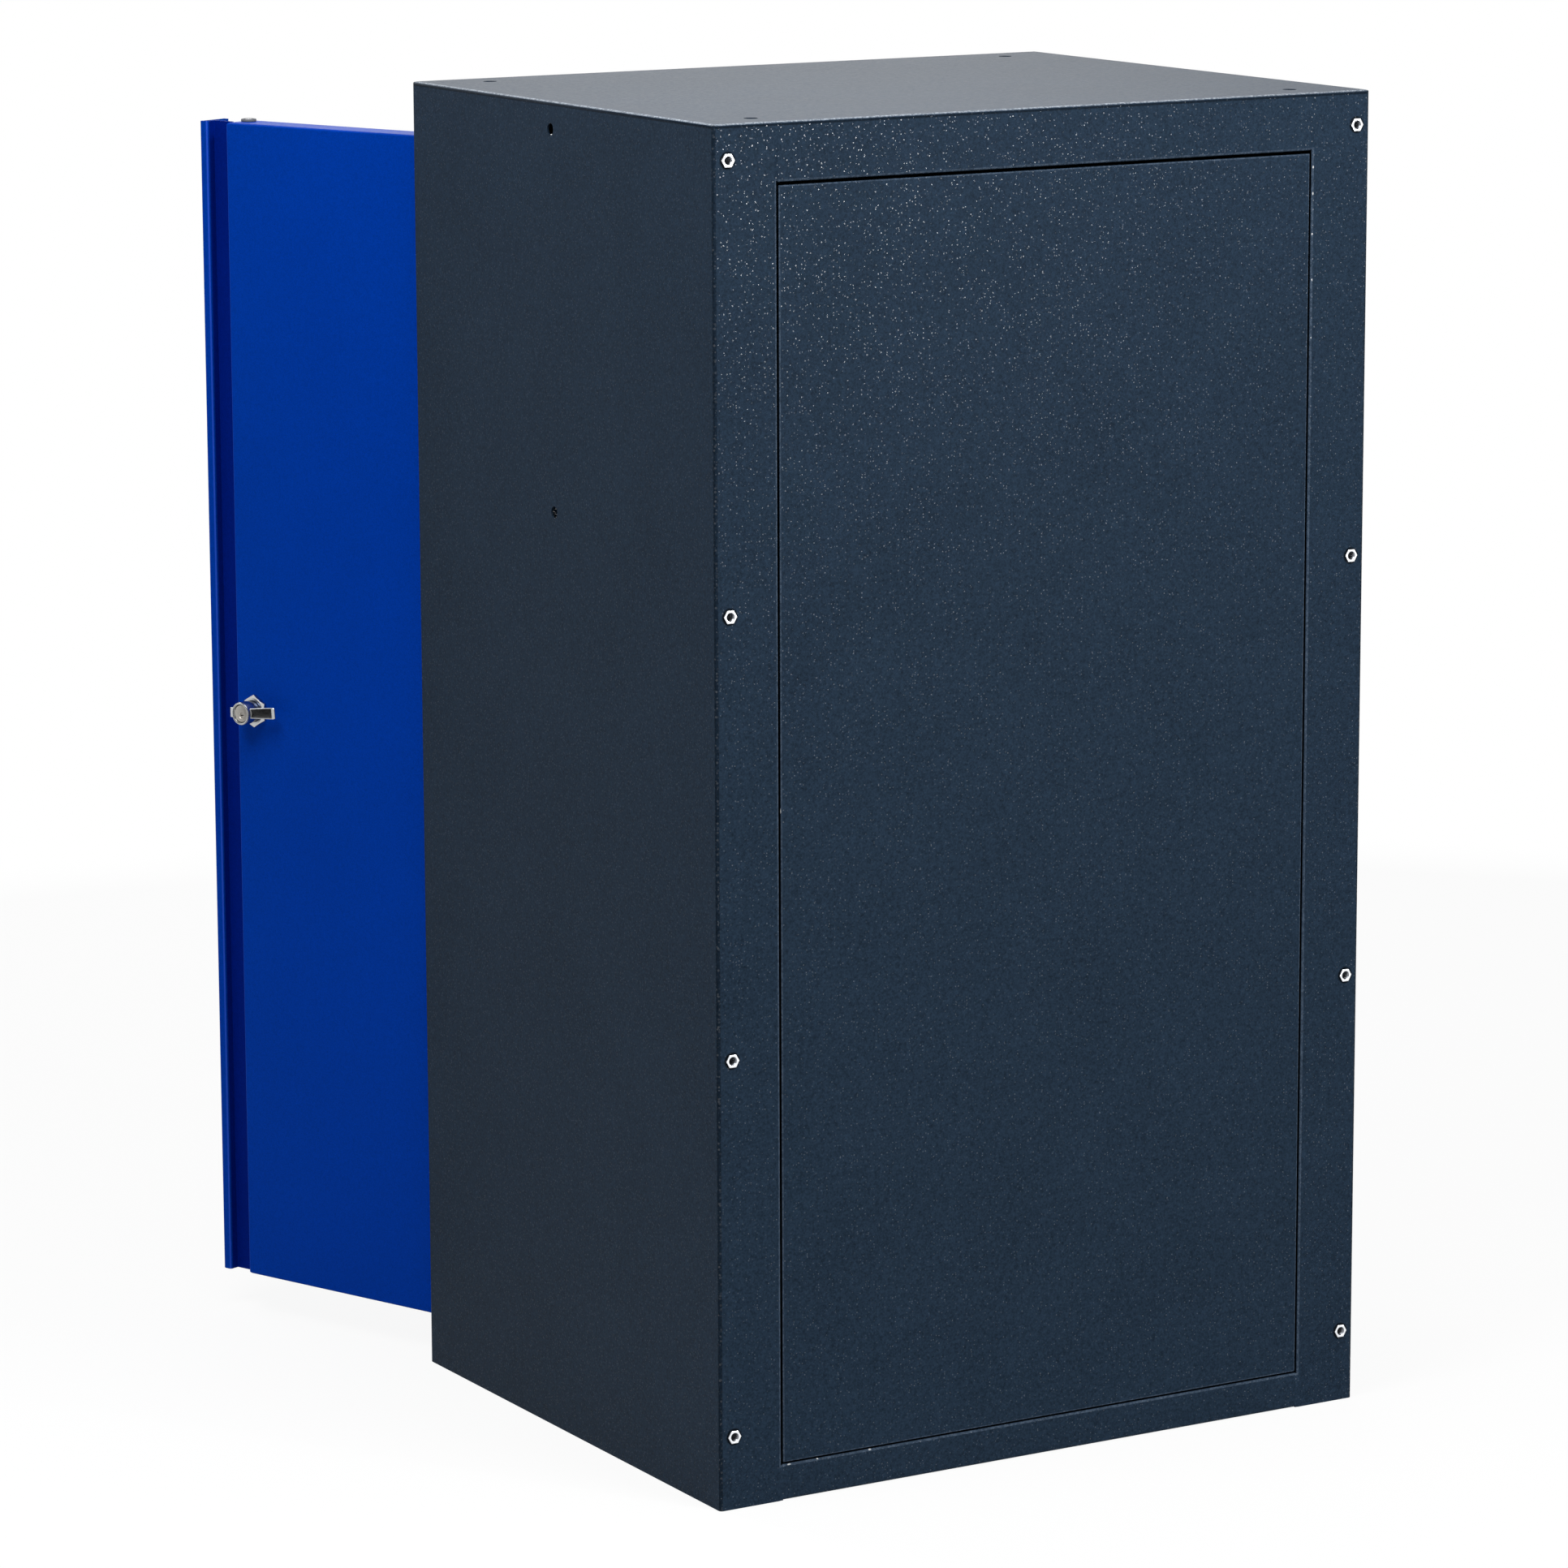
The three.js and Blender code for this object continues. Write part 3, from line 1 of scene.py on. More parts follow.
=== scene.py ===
"""Steel workshop cabinet: powder coat, zinc, chrome and the fine shapes of its fittings, set on
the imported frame. Lengths are in metres, +Z is up and the doors face -Y."""

import json
from math import acos, cos, pi, radians, sin

import bmesh
import bpy
from bpy.props import FloatProperty, FloatVectorProperty, PointerProperty
from bpy.types import Operator, Panel, PropertyGroup
from mathutils import Matrix, Vector


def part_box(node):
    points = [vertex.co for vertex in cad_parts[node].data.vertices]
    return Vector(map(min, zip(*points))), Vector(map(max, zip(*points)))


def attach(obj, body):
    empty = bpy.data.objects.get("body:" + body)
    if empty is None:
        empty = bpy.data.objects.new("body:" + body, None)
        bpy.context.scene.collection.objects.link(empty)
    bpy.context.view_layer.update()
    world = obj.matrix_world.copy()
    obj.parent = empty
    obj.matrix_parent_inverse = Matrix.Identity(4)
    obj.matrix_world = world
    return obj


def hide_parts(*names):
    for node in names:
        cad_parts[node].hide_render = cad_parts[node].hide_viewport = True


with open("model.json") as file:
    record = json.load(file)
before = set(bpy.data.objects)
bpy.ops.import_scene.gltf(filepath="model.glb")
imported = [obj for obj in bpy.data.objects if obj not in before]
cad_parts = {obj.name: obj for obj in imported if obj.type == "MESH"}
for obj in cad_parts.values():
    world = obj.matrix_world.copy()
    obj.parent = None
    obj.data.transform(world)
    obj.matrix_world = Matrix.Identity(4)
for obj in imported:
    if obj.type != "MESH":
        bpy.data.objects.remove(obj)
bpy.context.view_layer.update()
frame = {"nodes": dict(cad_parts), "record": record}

bl_info = {
    "name": "Workshop cabinet",
    "version": (1, 0, 0),
    "blender": (4, 5, 0),
    "location": "3D View > Sidebar > Cabinet",
    "description": "Dresses the frame of a steel workshop cabinet and lights it in a pale studio",
    "category": "Object",
}

MM = 0.001

# Places of the body, whose middle is on the vertical axis and whose foot is on the ground
BODY_HALF_WIDTH = 215 * MM
BODY_HALF_DEPTH = 175 * MM
BODY_HEIGHT = 770 * MM
REAR_OPENING_HALF = 175 * MM
REAR_OPENING_TOP = 737 * MM
BASE_BAND = 21.5 * MM
FRONT_OPENING_HALF = 198.3 * MM
FRONT_OPENING_TOP = 739 * MM
FOLD = 2 * MM

# Sizes of the right door across its leaf and inward from its outer face
PIVOT_INSET = 6 * MM
MAIN_WIDTH = 184.2 * MM
GRIP_WIDTH = 15.1 * MM
GRIP_DEPTH = 6.3 * MM

INSERT_ROWS = range(1, 5)
SHELVES = (1, 2)

# Angles between two faces from which the edge between them stays hard
SHEET_CREASE = radians(40)
FITTING_CREASE = radians(35)
FLAT_CREASE = radians(0.5)

# Distances within which points are one
SHEET_MERGE = 1e-6
COLLAR_MERGE = 1e-7

# Steps round the turned pieces; those of the insert's rim and the hexagon suit six sides
RIM_STEPS = 72
BORE_STEPS = 48
BARREL_STEPS = 64
KNOB_STEPS = 96
PIVOT_STEPS = 40
HEXAGON_SIDE_STEPS = 10
HEXAGON_CORNER_STEPS = 8
SOFT_EDGE_STEPS = 3

# Colour of the painted highlight on the crest of a fold, and depth of the relief on plate and
# plastic
CREST_HIGHLIGHT = (0.24, 0.27, 0.31)
FINE_RELIEF = 0.02 * MM

# Metals: name, colour, roughness, size of the spangle and, if drawn, the lines per metre
METALS = {
    "zinc": ("Bright zinc", (0.78, 0.80, 0.83), 0.28, 4 * MM),
    # The threads' dark colour is partly oil and partly painted shade down in the bores
    "thread": ("Oiled thread with painted shade", (0.24, 0.25, 0.27), 0.25, 2 * MM),
    "rod": ("Drawn zinc", (0.62, 0.63, 0.66), 0.3, 6 * MM, (9000, 9000, 60)),
    "chrome": ("Polished chrome", (0.48, 0.49, 0.50), 0.15, 30 * MM),
    # Painted reflection: the barrel's dark blue stands for the blue door mirrored in its chrome
    "barrel": ("Chrome with painted blue reflection", (0.07, 0.09, 0.15), 0.2, 30 * MM),
    "cast": ("Plug face", (0.42, 0.40, 0.37), 0.38, 1.2 * MM),
}

# The photograph's camera, with its place in millimetres
SENSOR_WIDTH = 36
CAMERA_PLACE = (1870.17, 3056.78, 1054.81)
CAMERA_YAW = radians(-120.505)
CAMERA_PITCH = radians(-10.944)
CAMERA_ROLL = radians(-0.2033)

# Lamps: place, size and share of the lamp power; all of them point at the aim
LAMP_AIM = Vector((0, 0, 0.4))
LAMPS = {
    "Rear lamp": ((-0.15, 1.0, 1.5), 0.5, 0.42),
    "Glint lamp": ((-1.26, 2.63, 0.58), 0.12, 0.85),
    "Side lamp": ((0.95, 0.3, 1.6), 0.9, 0.5),
    "Top lamp": ((0.2, 0.6, 3.0), 2.0, 0.7),
    "Front lamp": ((0.8, -2.6, 2.3), 1.4, 0.8),
    "Far lamp": ((-1.3, -2.4, 1.7), 1.6, 0.32),
}

# Knocks in the coat at the rear, in millimetres: place across and up, half width and half height
KNOCKS = (
    (170.5, 20.4, 1.3, 0.35), (152, 20.7, 0.7, 0.35), (117.5, 20.6, 1.0, 0.45),
    (174.3, 393, 0.4, 1.6), (-176.4, 728, 0.45, 0.9), (-176.4, 713, 0.45, 1.0),
    (-176.3, 690, 0.5, 0.7), (-176.4, 664, 0.35, 0.8), (-176.3, 631, 0.3, 0.5),
)


def joint_named(name):
    for joint in frame["record"]["behaviour"]["joints"]:
        if joint["name"] == name:
            return joint
    raise ValueError("no joint " + name)


door_hinge = joint_named("right_door_hinge")
lock_turn = joint_named("lock_turn")
pivot = Vector(door_hinge["pos_m"])
open_angle = radians(-door_hinge["range_deg"][0])

# The lock's own axes: x along the leaf to its hinge, y inward and z up, from the outer face
LOCK_PLACE = Matrix.Translation(Vector(lock_turn["pos_m"])) @ Matrix.Rotation(open_angle, 4, "Z")


class PaintSizes(PropertyGroup):
    """Colours and grain of the powder coats."""

    body: FloatVectorProperty(
        name="Body colour", description="Powder coat of the body, shelves and rails",
        subtype="COLOR", size=3, min=0, max=1, default=(0.0119, 0.0224, 0.0385),
    )
    door: FloatVectorProperty(
        name="Door colour", description="Powder coat of both doors",
        subtype="COLOR", size=3, min=0, max=1, default=(0.0002, 0.031, 0.275),
    )
    # Painted shade: the darker blue down in the right door's grip channel
    channel: FloatVectorProperty(
        name="Channel colour", description="Thinner coat down in the grip channel",
        subtype="COLOR", size=3, min=0, max=1, default=(0.0002, 0.009, 0.150),
    )
    chip: FloatVectorProperty(
        name="Chip colour", description="Bare steel under a knock",
        subtype="COLOR", size=3, min=0, max=1, default=(0.42, 0.43, 0.44),
    )
    body_roughness: FloatProperty(
        name="Body roughness", description="Roughness between the pebbles of the body's coat",
        subtype="FACTOR", default=0.42, min=0, max=1,
    )
    door_roughness: FloatProperty(
        name="Door roughness", description="Roughness of the doors' satin coat",
        subtype="FACTOR", default=0.42, min=0, max=1,
    )
    glint: FloatProperty(
        name="Glint", description="Clear gloss on the body coat's glassy grains",
        subtype="FACTOR", default=1.0, min=0, max=1,
    )
    glint_spacing: FloatProperty(
        name="Glint spacing", description="Room that each glassy grain of the body coat has",
        unit="LENGTH", default=1.8 * MM, min=0.5 * MM, max=10 * MM,
    )
    grain: FloatProperty(
        name="Grain", description="Size of the coat's fine bumps",
        unit="LENGTH", default=0.9 * MM, min=0.2 * MM, max=5 * MM,
    )
    grain_height: FloatProperty(
        name="Grain height", description="Height of the coat's fine bumps",
        unit="LENGTH", default=0.05 * MM, min=0, max=1 * MM,
    )


class FittingSizes(PropertyGroup):
    """Fine sizes of the small fittings."""

    rim_flats: FloatProperty(
        name="Insert across flats", description="Hexagonal rim of a threaded insert",
        unit="LENGTH", default=7.2 * MM,
    )
    rim_height: FloatProperty(
        name="Insert rim", description="How far an insert's rim stands out",
        unit="LENGTH", default=0.8 * MM,
    )
    thread_pitch: FloatProperty(
        name="Thread pitch", description="Pitch of the threads in the inserts",
        unit="LENGTH", default=0.8 * MM,
    )
    soft_edge: FloatProperty(
        name="Soft edge", description="Rounding of the edges of the lever's arm and tail",
        unit="LENGTH", default=0.45 * MM,
    )


class StageSizes(PropertyGroup):
    """Studio round the cabinet."""

    floor: FloatVectorProperty(
        name="Floor colour", description="Plain pale floor",
        subtype="COLOR", size=3, min=0, max=1, default=(0.72, 0.72, 0.72),
    )
    floor_lift: FloatProperty(
        name="Floor lift", description="White that the camera sees over the lit floor",
        subtype="FACTOR", default=0.9, min=0, max=1,
    )
    floor_reach: FloatProperty(
        name="Floor reach", description="Distance at which the floor has faded to white",
        unit="LENGTH", default=1.7,
    )
    fill: FloatProperty(
        name="Fill", description="Brightness of the even fill light",
        default=0.25, min=0,
    )
    lamp_power: FloatProperty(
        name="Lamp power", description="Power that each lamp takes its share of",
        subtype="POWER", default=34,
    )
    lens: FloatProperty(
        name="Lens", description="Focal length of the camera on a 36 mm sensor, in millimetres",
        default=142.95,
    )


class Wire:
    """A socket whose sums, products and comparisons become Math nodes."""

    def __init__(self, finish, socket):
        self.finish = finish
        self.socket = socket

    def maths(self, operation, *values):
        return self.finish.node(
            "ShaderNodeMath", {"operation": operation}, dict(enumerate(values))
        )

    def __add__(self, other):
        return self.maths("ADD", self, other)

    def __radd__(self, other):
        return self.maths("ADD", other, self)

    def __sub__(self, other):
        return self.maths("SUBTRACT", self, other)

    def __rsub__(self, other):
        return self.maths("SUBTRACT", other, self)

    def __mul__(self, other):
        return self.maths("MULTIPLY", self, other)

    def __rmul__(self, other):
        return self.maths("MULTIPLY", other, self)

    def __truediv__(self, other):
        return self.maths("DIVIDE", self, other)

    def __rtruediv__(self, other):
        return self.maths("DIVIDE", other, self)

    def __abs__(self):
        return self.maths("ABSOLUTE", self)

    def __gt__(self, other):
        return self.maths("GREATER_THAN", self, other)

    def __lt__(self, other):
        return self.maths("LESS_THAN", self, other)

    def least(self, other):
        return self.maths("MINIMUM", self, other)

    def most(self, other):
        return self.maths("MAXIMUM", self, other)

    def ramp(self, low, high):
        """Smooth rise from 0 at low to 1 at high."""
        return self.finish.node(
            "ShaderNodeMapRange", {"interpolation_type": "SMOOTHSTEP"},
            {"Value": self, "From Min": low, "From Max": high}, "Result",
        )


class Nodes:
    """The nodes of one tree."""

    def __init__(self, tree):
        self.tree = tree

    def node(self, kind, settings=None, inputs=None, output=0):
        node = self.tree.nodes.new(kind)
        for key, value in (settings or {}).items():
            setattr(node, key, value)
        for key, value in (inputs or {}).items():
            self.join(node.inputs[key], value)
        return Wire(self, node.outputs[output])

    def join(self, socket, value):
        if isinstance(value, Wire):
            self.tree.links.new(value.socket, socket)
        elif hasattr(value, "__len__") and len(value) == 3 and len(socket.default_value) == 4:
            socket.default_value = (*value, 1)
        else:
            socket.default_value = value

    def background_seen(self):
        """1 for the rays that see, mirror or look through to the background."""
        seen = [
            self.node("ShaderNodeLightPath", output=f"Is {ray} Ray")
            for ray in ("Camera", "Glossy", "Transmission")
        ]
        return seen[0].most(seen[1]).most(seen[2])


class Finish(Nodes):
    """A material and the nodes behind its Principled shader."""

    def __init__(self, name, **sockets):
        self.material = bpy.data.materials.new(name)
        self.material.use_nodes = True
        super().__init__(self.material.node_tree)
        self.shader = self.tree.nodes["Principled BSDF"]
        for socket, value in sockets.items():
            self.shader.inputs[socket.replace("_", " ")].default_value = value

    def place(self):
        return self.node("ShaderNodeTexCoord", output="Object")

    def axes(self, vector):
        return [
            self.node("ShaderNodeSeparateXYZ", inputs={0: vector}, output=i) for i in range(3)
        ]

    def noise(self, vector, size, detail=2.0, roughness=0.5, distortion=0.0):
        return self.node(
            "ShaderNodeTexNoise", inputs={
                "Vector": vector, "Scale": 1 / size, "Detail": detail,
                "Roughness": roughness, "Distortion": distortion,
            },
        )

    def cells(self, vector, size, output="Distance"):
        return self.node(
            "ShaderNodeTexVoronoi", {"feature": "F1"},
            {"Vector": vector, "Scale": 1 / size}, output,
        )

    def product(self, first, second):
        return self.node(
            "ShaderNodeVectorMath", {"operation": "MULTIPLY"}, {0: first, 1: second}
        )

    def mixed(self, share, first, second):
        return self.node(
            "ShaderNodeMix", {"data_type": "RGBA"}, {0: share, 6: first, 7: second}, 2
        )

    def shaded(self, colour, share):
        """The colour times a number that changes over the surface."""
        grey = self.node("ShaderNodeCombineXYZ", inputs={0: share, 1: share, 2: share})
        return self.product(colour, grey)

    def bump(self, height, distance):
        return self.node(
            "ShaderNodeBump", inputs={"Height": height, "Distance": distance, "Strength": 1.0}
        )

    def feed(self, **wires):
        for socket, value in wires.items():
            self.join(self.shader.inputs[socket.replace("_", " ")], value)


finishes = {}


def paler(colour, gain, lift):
    return tuple(min(1, part * gain + lift) for part in colour)


def textured_coat(name, colour, paint, gloss):
    """Fine-grained powder coat: pebbled bumps, glassy grains, mottled tone, painted shade and
    painted highlights along its folds and round the back panel, knocks, and ground welds with
    painted glints."""
    finish = Finish(name, Specular_IOR_Level=gloss, Specular_Tint=(0.7, 0.85, 1, 1),
                    Coat_Roughness=0.28, Coat_IOR=1.5)
    at = finish.place()
    pebble = finish.noise(at, paint.grain * 1.3, 2, 0.6)
    swell = finish.noise(at, paint.grain * 3, 2, 0.5, 0.8)
    cloud = finish.noise(at, 60 * MM, 3, 0.55)
    spark = grains(finish, at, paint.glint_spacing)
    tone = 0.95 + (cloud - 0.5) * 0.25 + (pebble - 0.5) * 1.3 + (swell - 0.5) * 0.7
    upright, crest, under = body_folds(finish, at)
    gap, rim = opening_edges(finish, at)
    # Pale tone for the painted glints and highlights
    pale = paler(colour, 2.5, 0.04)
    # Breaks the painted highlights on the folds into dots
    highlight_breakup = 0.35 + finish.noise(at, 1.5 * MM, 3, 0.6).ramp(0.42, 0.62) * 0.65
    weld = corner_welds(finish, at)
    tint = finish.shaded(colour, tone)
    # Painted glint: the glassy grains are paler, partly the coat's own speckle and partly a
    # painted glint
    tint = finish.mixed(spark * 0.25, tint, pale)
    # Painted highlight: pale broken lines on the folds either side of the gap round the back panel
    tint = finish.mixed(rim * highlight_breakup * 0.6, tint, pale)
    # Painted highlight: a pale line along the crest of the folds round the top, broken into dots
    tint = finish.mixed(crest * highlight_breakup, tint, CREST_HIGHLIGHT)
    # Bare steel where the coat is knocked off, and pale specks along the corner welds that are
    # painted glints
    chips_and_weld_glints = knocks(finish, at).most(weld * (spark > 0.1) * 0.4)
    tint = finish.mixed(chips_and_weld_glints, tint, tuple(paint.chip))
    # Painted shade: darker down in the gap round the back panel, in a line under the top folds,
    # along the upright folds and round the rims of the inserts
    shadow = gap.most(under * 0.6).most(upright * 0.45).most(insert_seats(finish, at) * 0.85)
    tint = finish.shaded(tint, 1 - shadow)
    fold_spark = grains(finish, at, 1.6 * MM, 0.42) * upright
    clear = spark.most(fold_spark) * paint.glint * below_top(finish, at) * (1 - gap)
    rough = paint.body_roughness + (swell - 0.5) * 0.15
    grain = finish.bump(pebble * 0.65 + swell * 0.35 - chips_and_weld_glints * 0.8, paint.grain_height)
    finish.feed(Base_Color=tint, Roughness=rough, Coat_Weight=clear, Normal=grain)
    return finish.material


def grains(finish, at, spacing, reach=0.21):
    """Scattered round grains, each of its own strength; reach is their radius over the spacing."""
    near = finish.cells(at, spacing) < reach
    strength = finish.axes(finish.cells(at, spacing, output="Color"))[0]
    return near * strength * strength


def below_top(finish, at):
    """1 everywhere but on the top face, whose grains show no gloss."""
    skin = 1 * MM
    return finish.axes(at)[2] < BODY_HEIGHT - skin


def body_folds(finish, at):
    """1 on the upright folds, where shade is painted and grains gloss; 1 on the crest of the folds
    round the top, where a highlight is painted; and 1 just under those, where a shade line is
    painted.
    """
    x, y, z = finish.axes(at)
    side = (abs(x) - (BODY_HALF_WIDTH - FOLD)) / FOLD
    end = (abs(y) - (BODY_HALF_DEPTH - FOLD)) / FOLD
    over = (z - (BODY_HEIGHT - FOLD)) / FOLD
    upright = side.least(end).ramp(0.0, 0.25)
    rim = side.most(end)
    crest = rim.ramp(-0.1, 0.1) * over.ramp(0.5, 0.85)
    under = rim.ramp(0.6, 0.9) * over.ramp(-0.3, 0.0) * (1 - over.ramp(0.3, 0.6))
    return upright, crest, under


def opening_edges(finish, at):
    """1 down in the gap round the back panel, where shade is painted, and 1 on the folds on either
    side of it, where a highlight is painted.
    """
    x, y, z = finish.axes(at)
    outside = (abs(x) - REAR_OPENING_HALF).most(z - REAR_OPENING_TOP).most(BASE_BAND - z)
    middle, reach, sunk = 0.1 * MM, 2.2 * MM, 14 * MM
    near = (abs(outside + middle) < reach) * (y > BODY_HALF_DEPTH - sunk)
    depth = BODY_HALF_DEPTH - y
    gap = near * depth.ramp(0.65 * MM, 1.0 * MM)
    rim = near * depth.ramp(0.02 * MM, 0.1 * MM) * (1 - depth.ramp(0.5 * MM, 0.8 * MM))
    panel = (outside < 0) * depth.ramp(0.21 * MM, 0.3 * MM)
    return gap, rim * panel.most(outside > 0)


def corner_welds(finish, at):
    """1 along the ground welds that run from the rear opening's corners up to the top, where pale
    specks are painted as glints.
    """
    x, y, z = finish.axes(at)
    offset, skin = 0.9 * MM, 0.5 * MM
    full, gone = 0.6 * MM, 2.2 * MM
    off_line = abs(abs(x) - (REAR_OPENING_HALF + offset))
    band = (y > BODY_HALF_DEPTH - skin) * (z > REAR_OPENING_TOP)
    return band * (1 - off_line.ramp(full, gone))


def insert_seats(finish, at):
    """1 in the shadow round the rims of the threaded inserts."""
    x, y, z = finish.axes(at)
    low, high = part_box("threaded_insert_right_1")
    across = abs(x) - (low.x + high.x) / 2
    near = None
    for row in INSERT_ROWS:
        low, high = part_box(f"threaded_insert_right_{row}")
        up = z - (low.z + high.z) / 2
        away = across * across + up * up
        near = near.least(away) if near else away
    full, gone, skin = 4.2 * MM, 5.4 * MM, 1 * MM
    return (y > BODY_HALF_DEPTH - skin) * (1 - near.ramp(full ** 2, gone ** 2))


def knocks(finish, at):
    """1 where the coat is knocked off down to the steel."""
    x, y, z = finish.axes(at)
    frayed = finish.noise(at, 1.1 * MM, 2, 0.7) * 1.2
    worn = None
    for across, up, half_width, half_height in KNOCKS:
        a = (x - across * MM) / (half_width * MM)
        b = (z - up * MM) / (half_height * MM)
        spot = 1 - (a * a + b * b + frayed).ramp(1.0, 1.7)
        worn = worn.most(spot) if worn else spot
    skin = 2.5 * MM
    return worn * (y > BODY_HALF_DEPTH - skin)


def satin_coat(name, colour, paint, channel=False):
    """Smooth powder coat with a faint orange peel; with the channel, also painted shade in the
    grip channel and painted highlights on its folds.
    """
    finish = Finish(name, Specular_IOR_Level=0.02, Specular_Tint=(0.05, 0.5, 1, 1))
    at = finish.place()
    peel = finish.noise(at, 2.6 * MM, 2, 0.5)
    fine = finish.noise(at, 0.8 * MM, 2, 0.5)
    cloud = finish.noise(at, 90 * MM, 2, 0.5)
    tone = 1 + (cloud - 0.5) * 0.12 + (fine - 0.5) * 0.7 + (peel - 0.5) * 0.3
    tint = finish.shaded(colour, tone)
    if channel:
        # Painted shade down in the grip channel, and a painted highlight on the folds at its rims
        low, fold = grip_channel(finish, at)
        tint = finish.mixed(low, tint, finish.shaded(tuple(paint.channel), tone))
        tint = finish.mixed(fold * 0.7, tint, paler(colour, 1.6, 0.02))
    rough = paint.door_roughness + (peel - 0.5) * 0.14
    skin = finish.bump(peel * 0.7 + fine * 0.3, paint.grain_height * 0.7)
    finish.feed(Base_Color=tint, Roughness=rough, Normal=skin)
    return finish.material


def grip_channel(finish, at):
    """1 down in the right door's grip channel, where shade is painted, and 1 on the folds at its
    rims, where a highlight is painted.
    """
    x, y = finish.axes(at)[:2]
    along = (x - pivot.x) * cos(open_angle) + (y - pivot.y) * sin(open_angle)
    inward = (y - pivot.y) * cos(open_angle) - (x - pivot.x) * sin(open_angle)
    across = PIVOT_INSET - along
    depth = inward + PIVOT_INSET
    beside, beneath, skin = 0.2 * MM, 0.3 * MM, 0.6 * MM
    near_fold, far_fold = MAIN_WIDTH - 0.4 * MM, MAIN_WIDTH + GRIP_WIDTH + 0.6 * MM
    full, gone = 0.3 * MM, 0.8 * MM
    inside = (across > MAIN_WIDTH - beside) * (across < MAIN_WIDTH + GRIP_WIDTH + beside)
    low = inside * depth.ramp(0.5 * MM, 2.5 * MM) * (depth < GRIP_DEPTH + beneath)
    rims = abs(across - near_fold).least(abs(across - far_fold))
    return low, (depth < skin) * (1 - rims.ramp(full, gone))


def plated(name, colour, roughness, spangle, brushed=None):
    """Metal plate: faint spangle, handling marks and, if brushed, fine lines along one way."""
    finish = Finish(name, Metallic=1.0)
    at = finish.place()
    crystals = finish.cells(at, spangle)
    marks = finish.noise(at, 8 * MM, 4, 0.65)
    tint = finish.shaded(colour, 0.86 + marks * 0.16 + crystals * 0.12)
    rough = roughness + (marks - 0.4) * 0.18
    if brushed:
        rough = rough + (finish.noise(finish.product(at, brushed), 1.0, 3, 0.7) - 0.5) * 0.3
    finish.feed(Base_Color=tint, Roughness=rough, Normal=finish.bump(marks, FINE_RELIEF))
    return finish.material


def moulded(name, colour):
    """Grey plastic from a finely eroded mould."""
    finish = Finish(name, Specular_IOR_Level=0.4)
    at = finish.place()
    spark = finish.noise(at, 0.35 * MM, 2, 0.6)
    flow = finish.noise(at, 12 * MM, 2, 0.5)
    finish.feed(
        Base_Color=finish.shaded(colour, 0.85 + flow * 0.25),
        Roughness=0.5 + spark * 0.2,
        Normal=finish.bump(spark, FINE_RELIEF),
    )
    return finish.material


def smooth_by_angle(mesh, limit):
    """Smooth shading with hard edges where faces meet at more than the limit."""
    shape = bmesh.new()
    shape.from_mesh(mesh)
    for face in shape.faces:
        face.smooth = True
    for edge in shape.edges:
        edge.smooth = len(edge.link_faces) == 2 and edge.calc_face_angle() < limit
    shape.to_mesh(mesh)
    shape.free()


def coat(mesh, material):
    mesh.materials.clear()
    mesh.materials.append(material)


def piece(name, mesh, material, body, slot, *nodes):
    """Puts a mesh in the scene, on its body, in the place of the nodes that it stands for."""
    thing = bpy.data.objects.new(name, mesh)
    bpy.context.scene.collection.objects.link(thing)
    coat(mesh, material)
    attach(thing, body)
    if nodes:
        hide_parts(*nodes)
    return thing


def loft(rings, closed=False):
    """Skin over rings of equally many points, capped at both ends or closed end to end."""
    shape = bmesh.new()
    rows = [[shape.verts.new(point) for point in ring] for ring in rings]
    count = len(rows[0])
    last = len(rows) if closed else len(rows) - 1
    for i in range(last):
        low, high = rows[i], rows[(i + 1) % len(rows)]
        for k in range(count):
            n = (k + 1) % count
            shape.faces.new((low[k], low[n], high[n], high[k]))
    if not closed:
        shape.faces.new(list(reversed(rows[0])))
        shape.faces.new(rows[-1])
    bmesh.ops.recalc_face_normals(shape, faces=shape.faces)
    return shape


def finished_mesh(name, shapes, place):
    """One mesh from several shapes, moved to its place, with hard and soft edges."""
    mesh = bpy.data.meshes.new(name)
    whole = bmesh.new()
    for shape in shapes:
        part = bpy.data.meshes.new(name)
        shape.to_mesh(part)
        shape.free()
        whole.from_mesh(part)
        bpy.data.meshes.remove(part)
    whole.transform(place)
    bmesh.ops.recalc_face_normals(whole, faces=whole.faces)
    whole.to_mesh(mesh)
    whole.free()
    smooth_by_angle(mesh, FITTING_CREASE)
    return mesh


def hexagon_radius(angle, flats):
    """Distance from the middle of a hexagon to its edge, with a corner at angle 0."""
    within = angle % (pi / 3) - pi / 6
    return flats / 2 / cos(within)


def hexagon_ring(flats, limit, y):
    """Hexagon about the Y axis, flat at the side, with its corners cut to a circle."""
    half = acos(min(1, flats / 2 / limit))
    points = []
    for sector in range(6):
        for i in range(HEXAGON_SIDE_STEPS):
            off = half * (2 * i / HEXAGON_SIDE_STEPS - 1)
            r = min(limit, flats / 2 / cos(off))
            angle = sector * pi / 3 + off
            points.append((r * cos(angle), y, r * sin(angle)))
        for i in range(HEXAGON_CORNER_STEPS):
            off = half + (pi / 3 - 2 * half) * i / HEXAGON_CORNER_STEPS
            angle = sector * pi / 3 + off
            points.append((limit * cos(angle), y, limit * sin(angle)))
    return points


def ring_y(radius, y, steps):
    """Ring about the Y axis; the radius is a number or a function of the angle."""
    points = []
    for k in range(steps):
        angle = 2 * pi * k / steps
        r = radius(angle) if callable(radius) else radius
        points.append((r * cos(angle), y, r * sin(angle)))
    return points


def ring_z(radius, z, steps):
    return [
        (radius * cos(2 * pi * k / steps), radius * sin(2 * pi * k / steps), z)
        for k in range(steps)
    ]


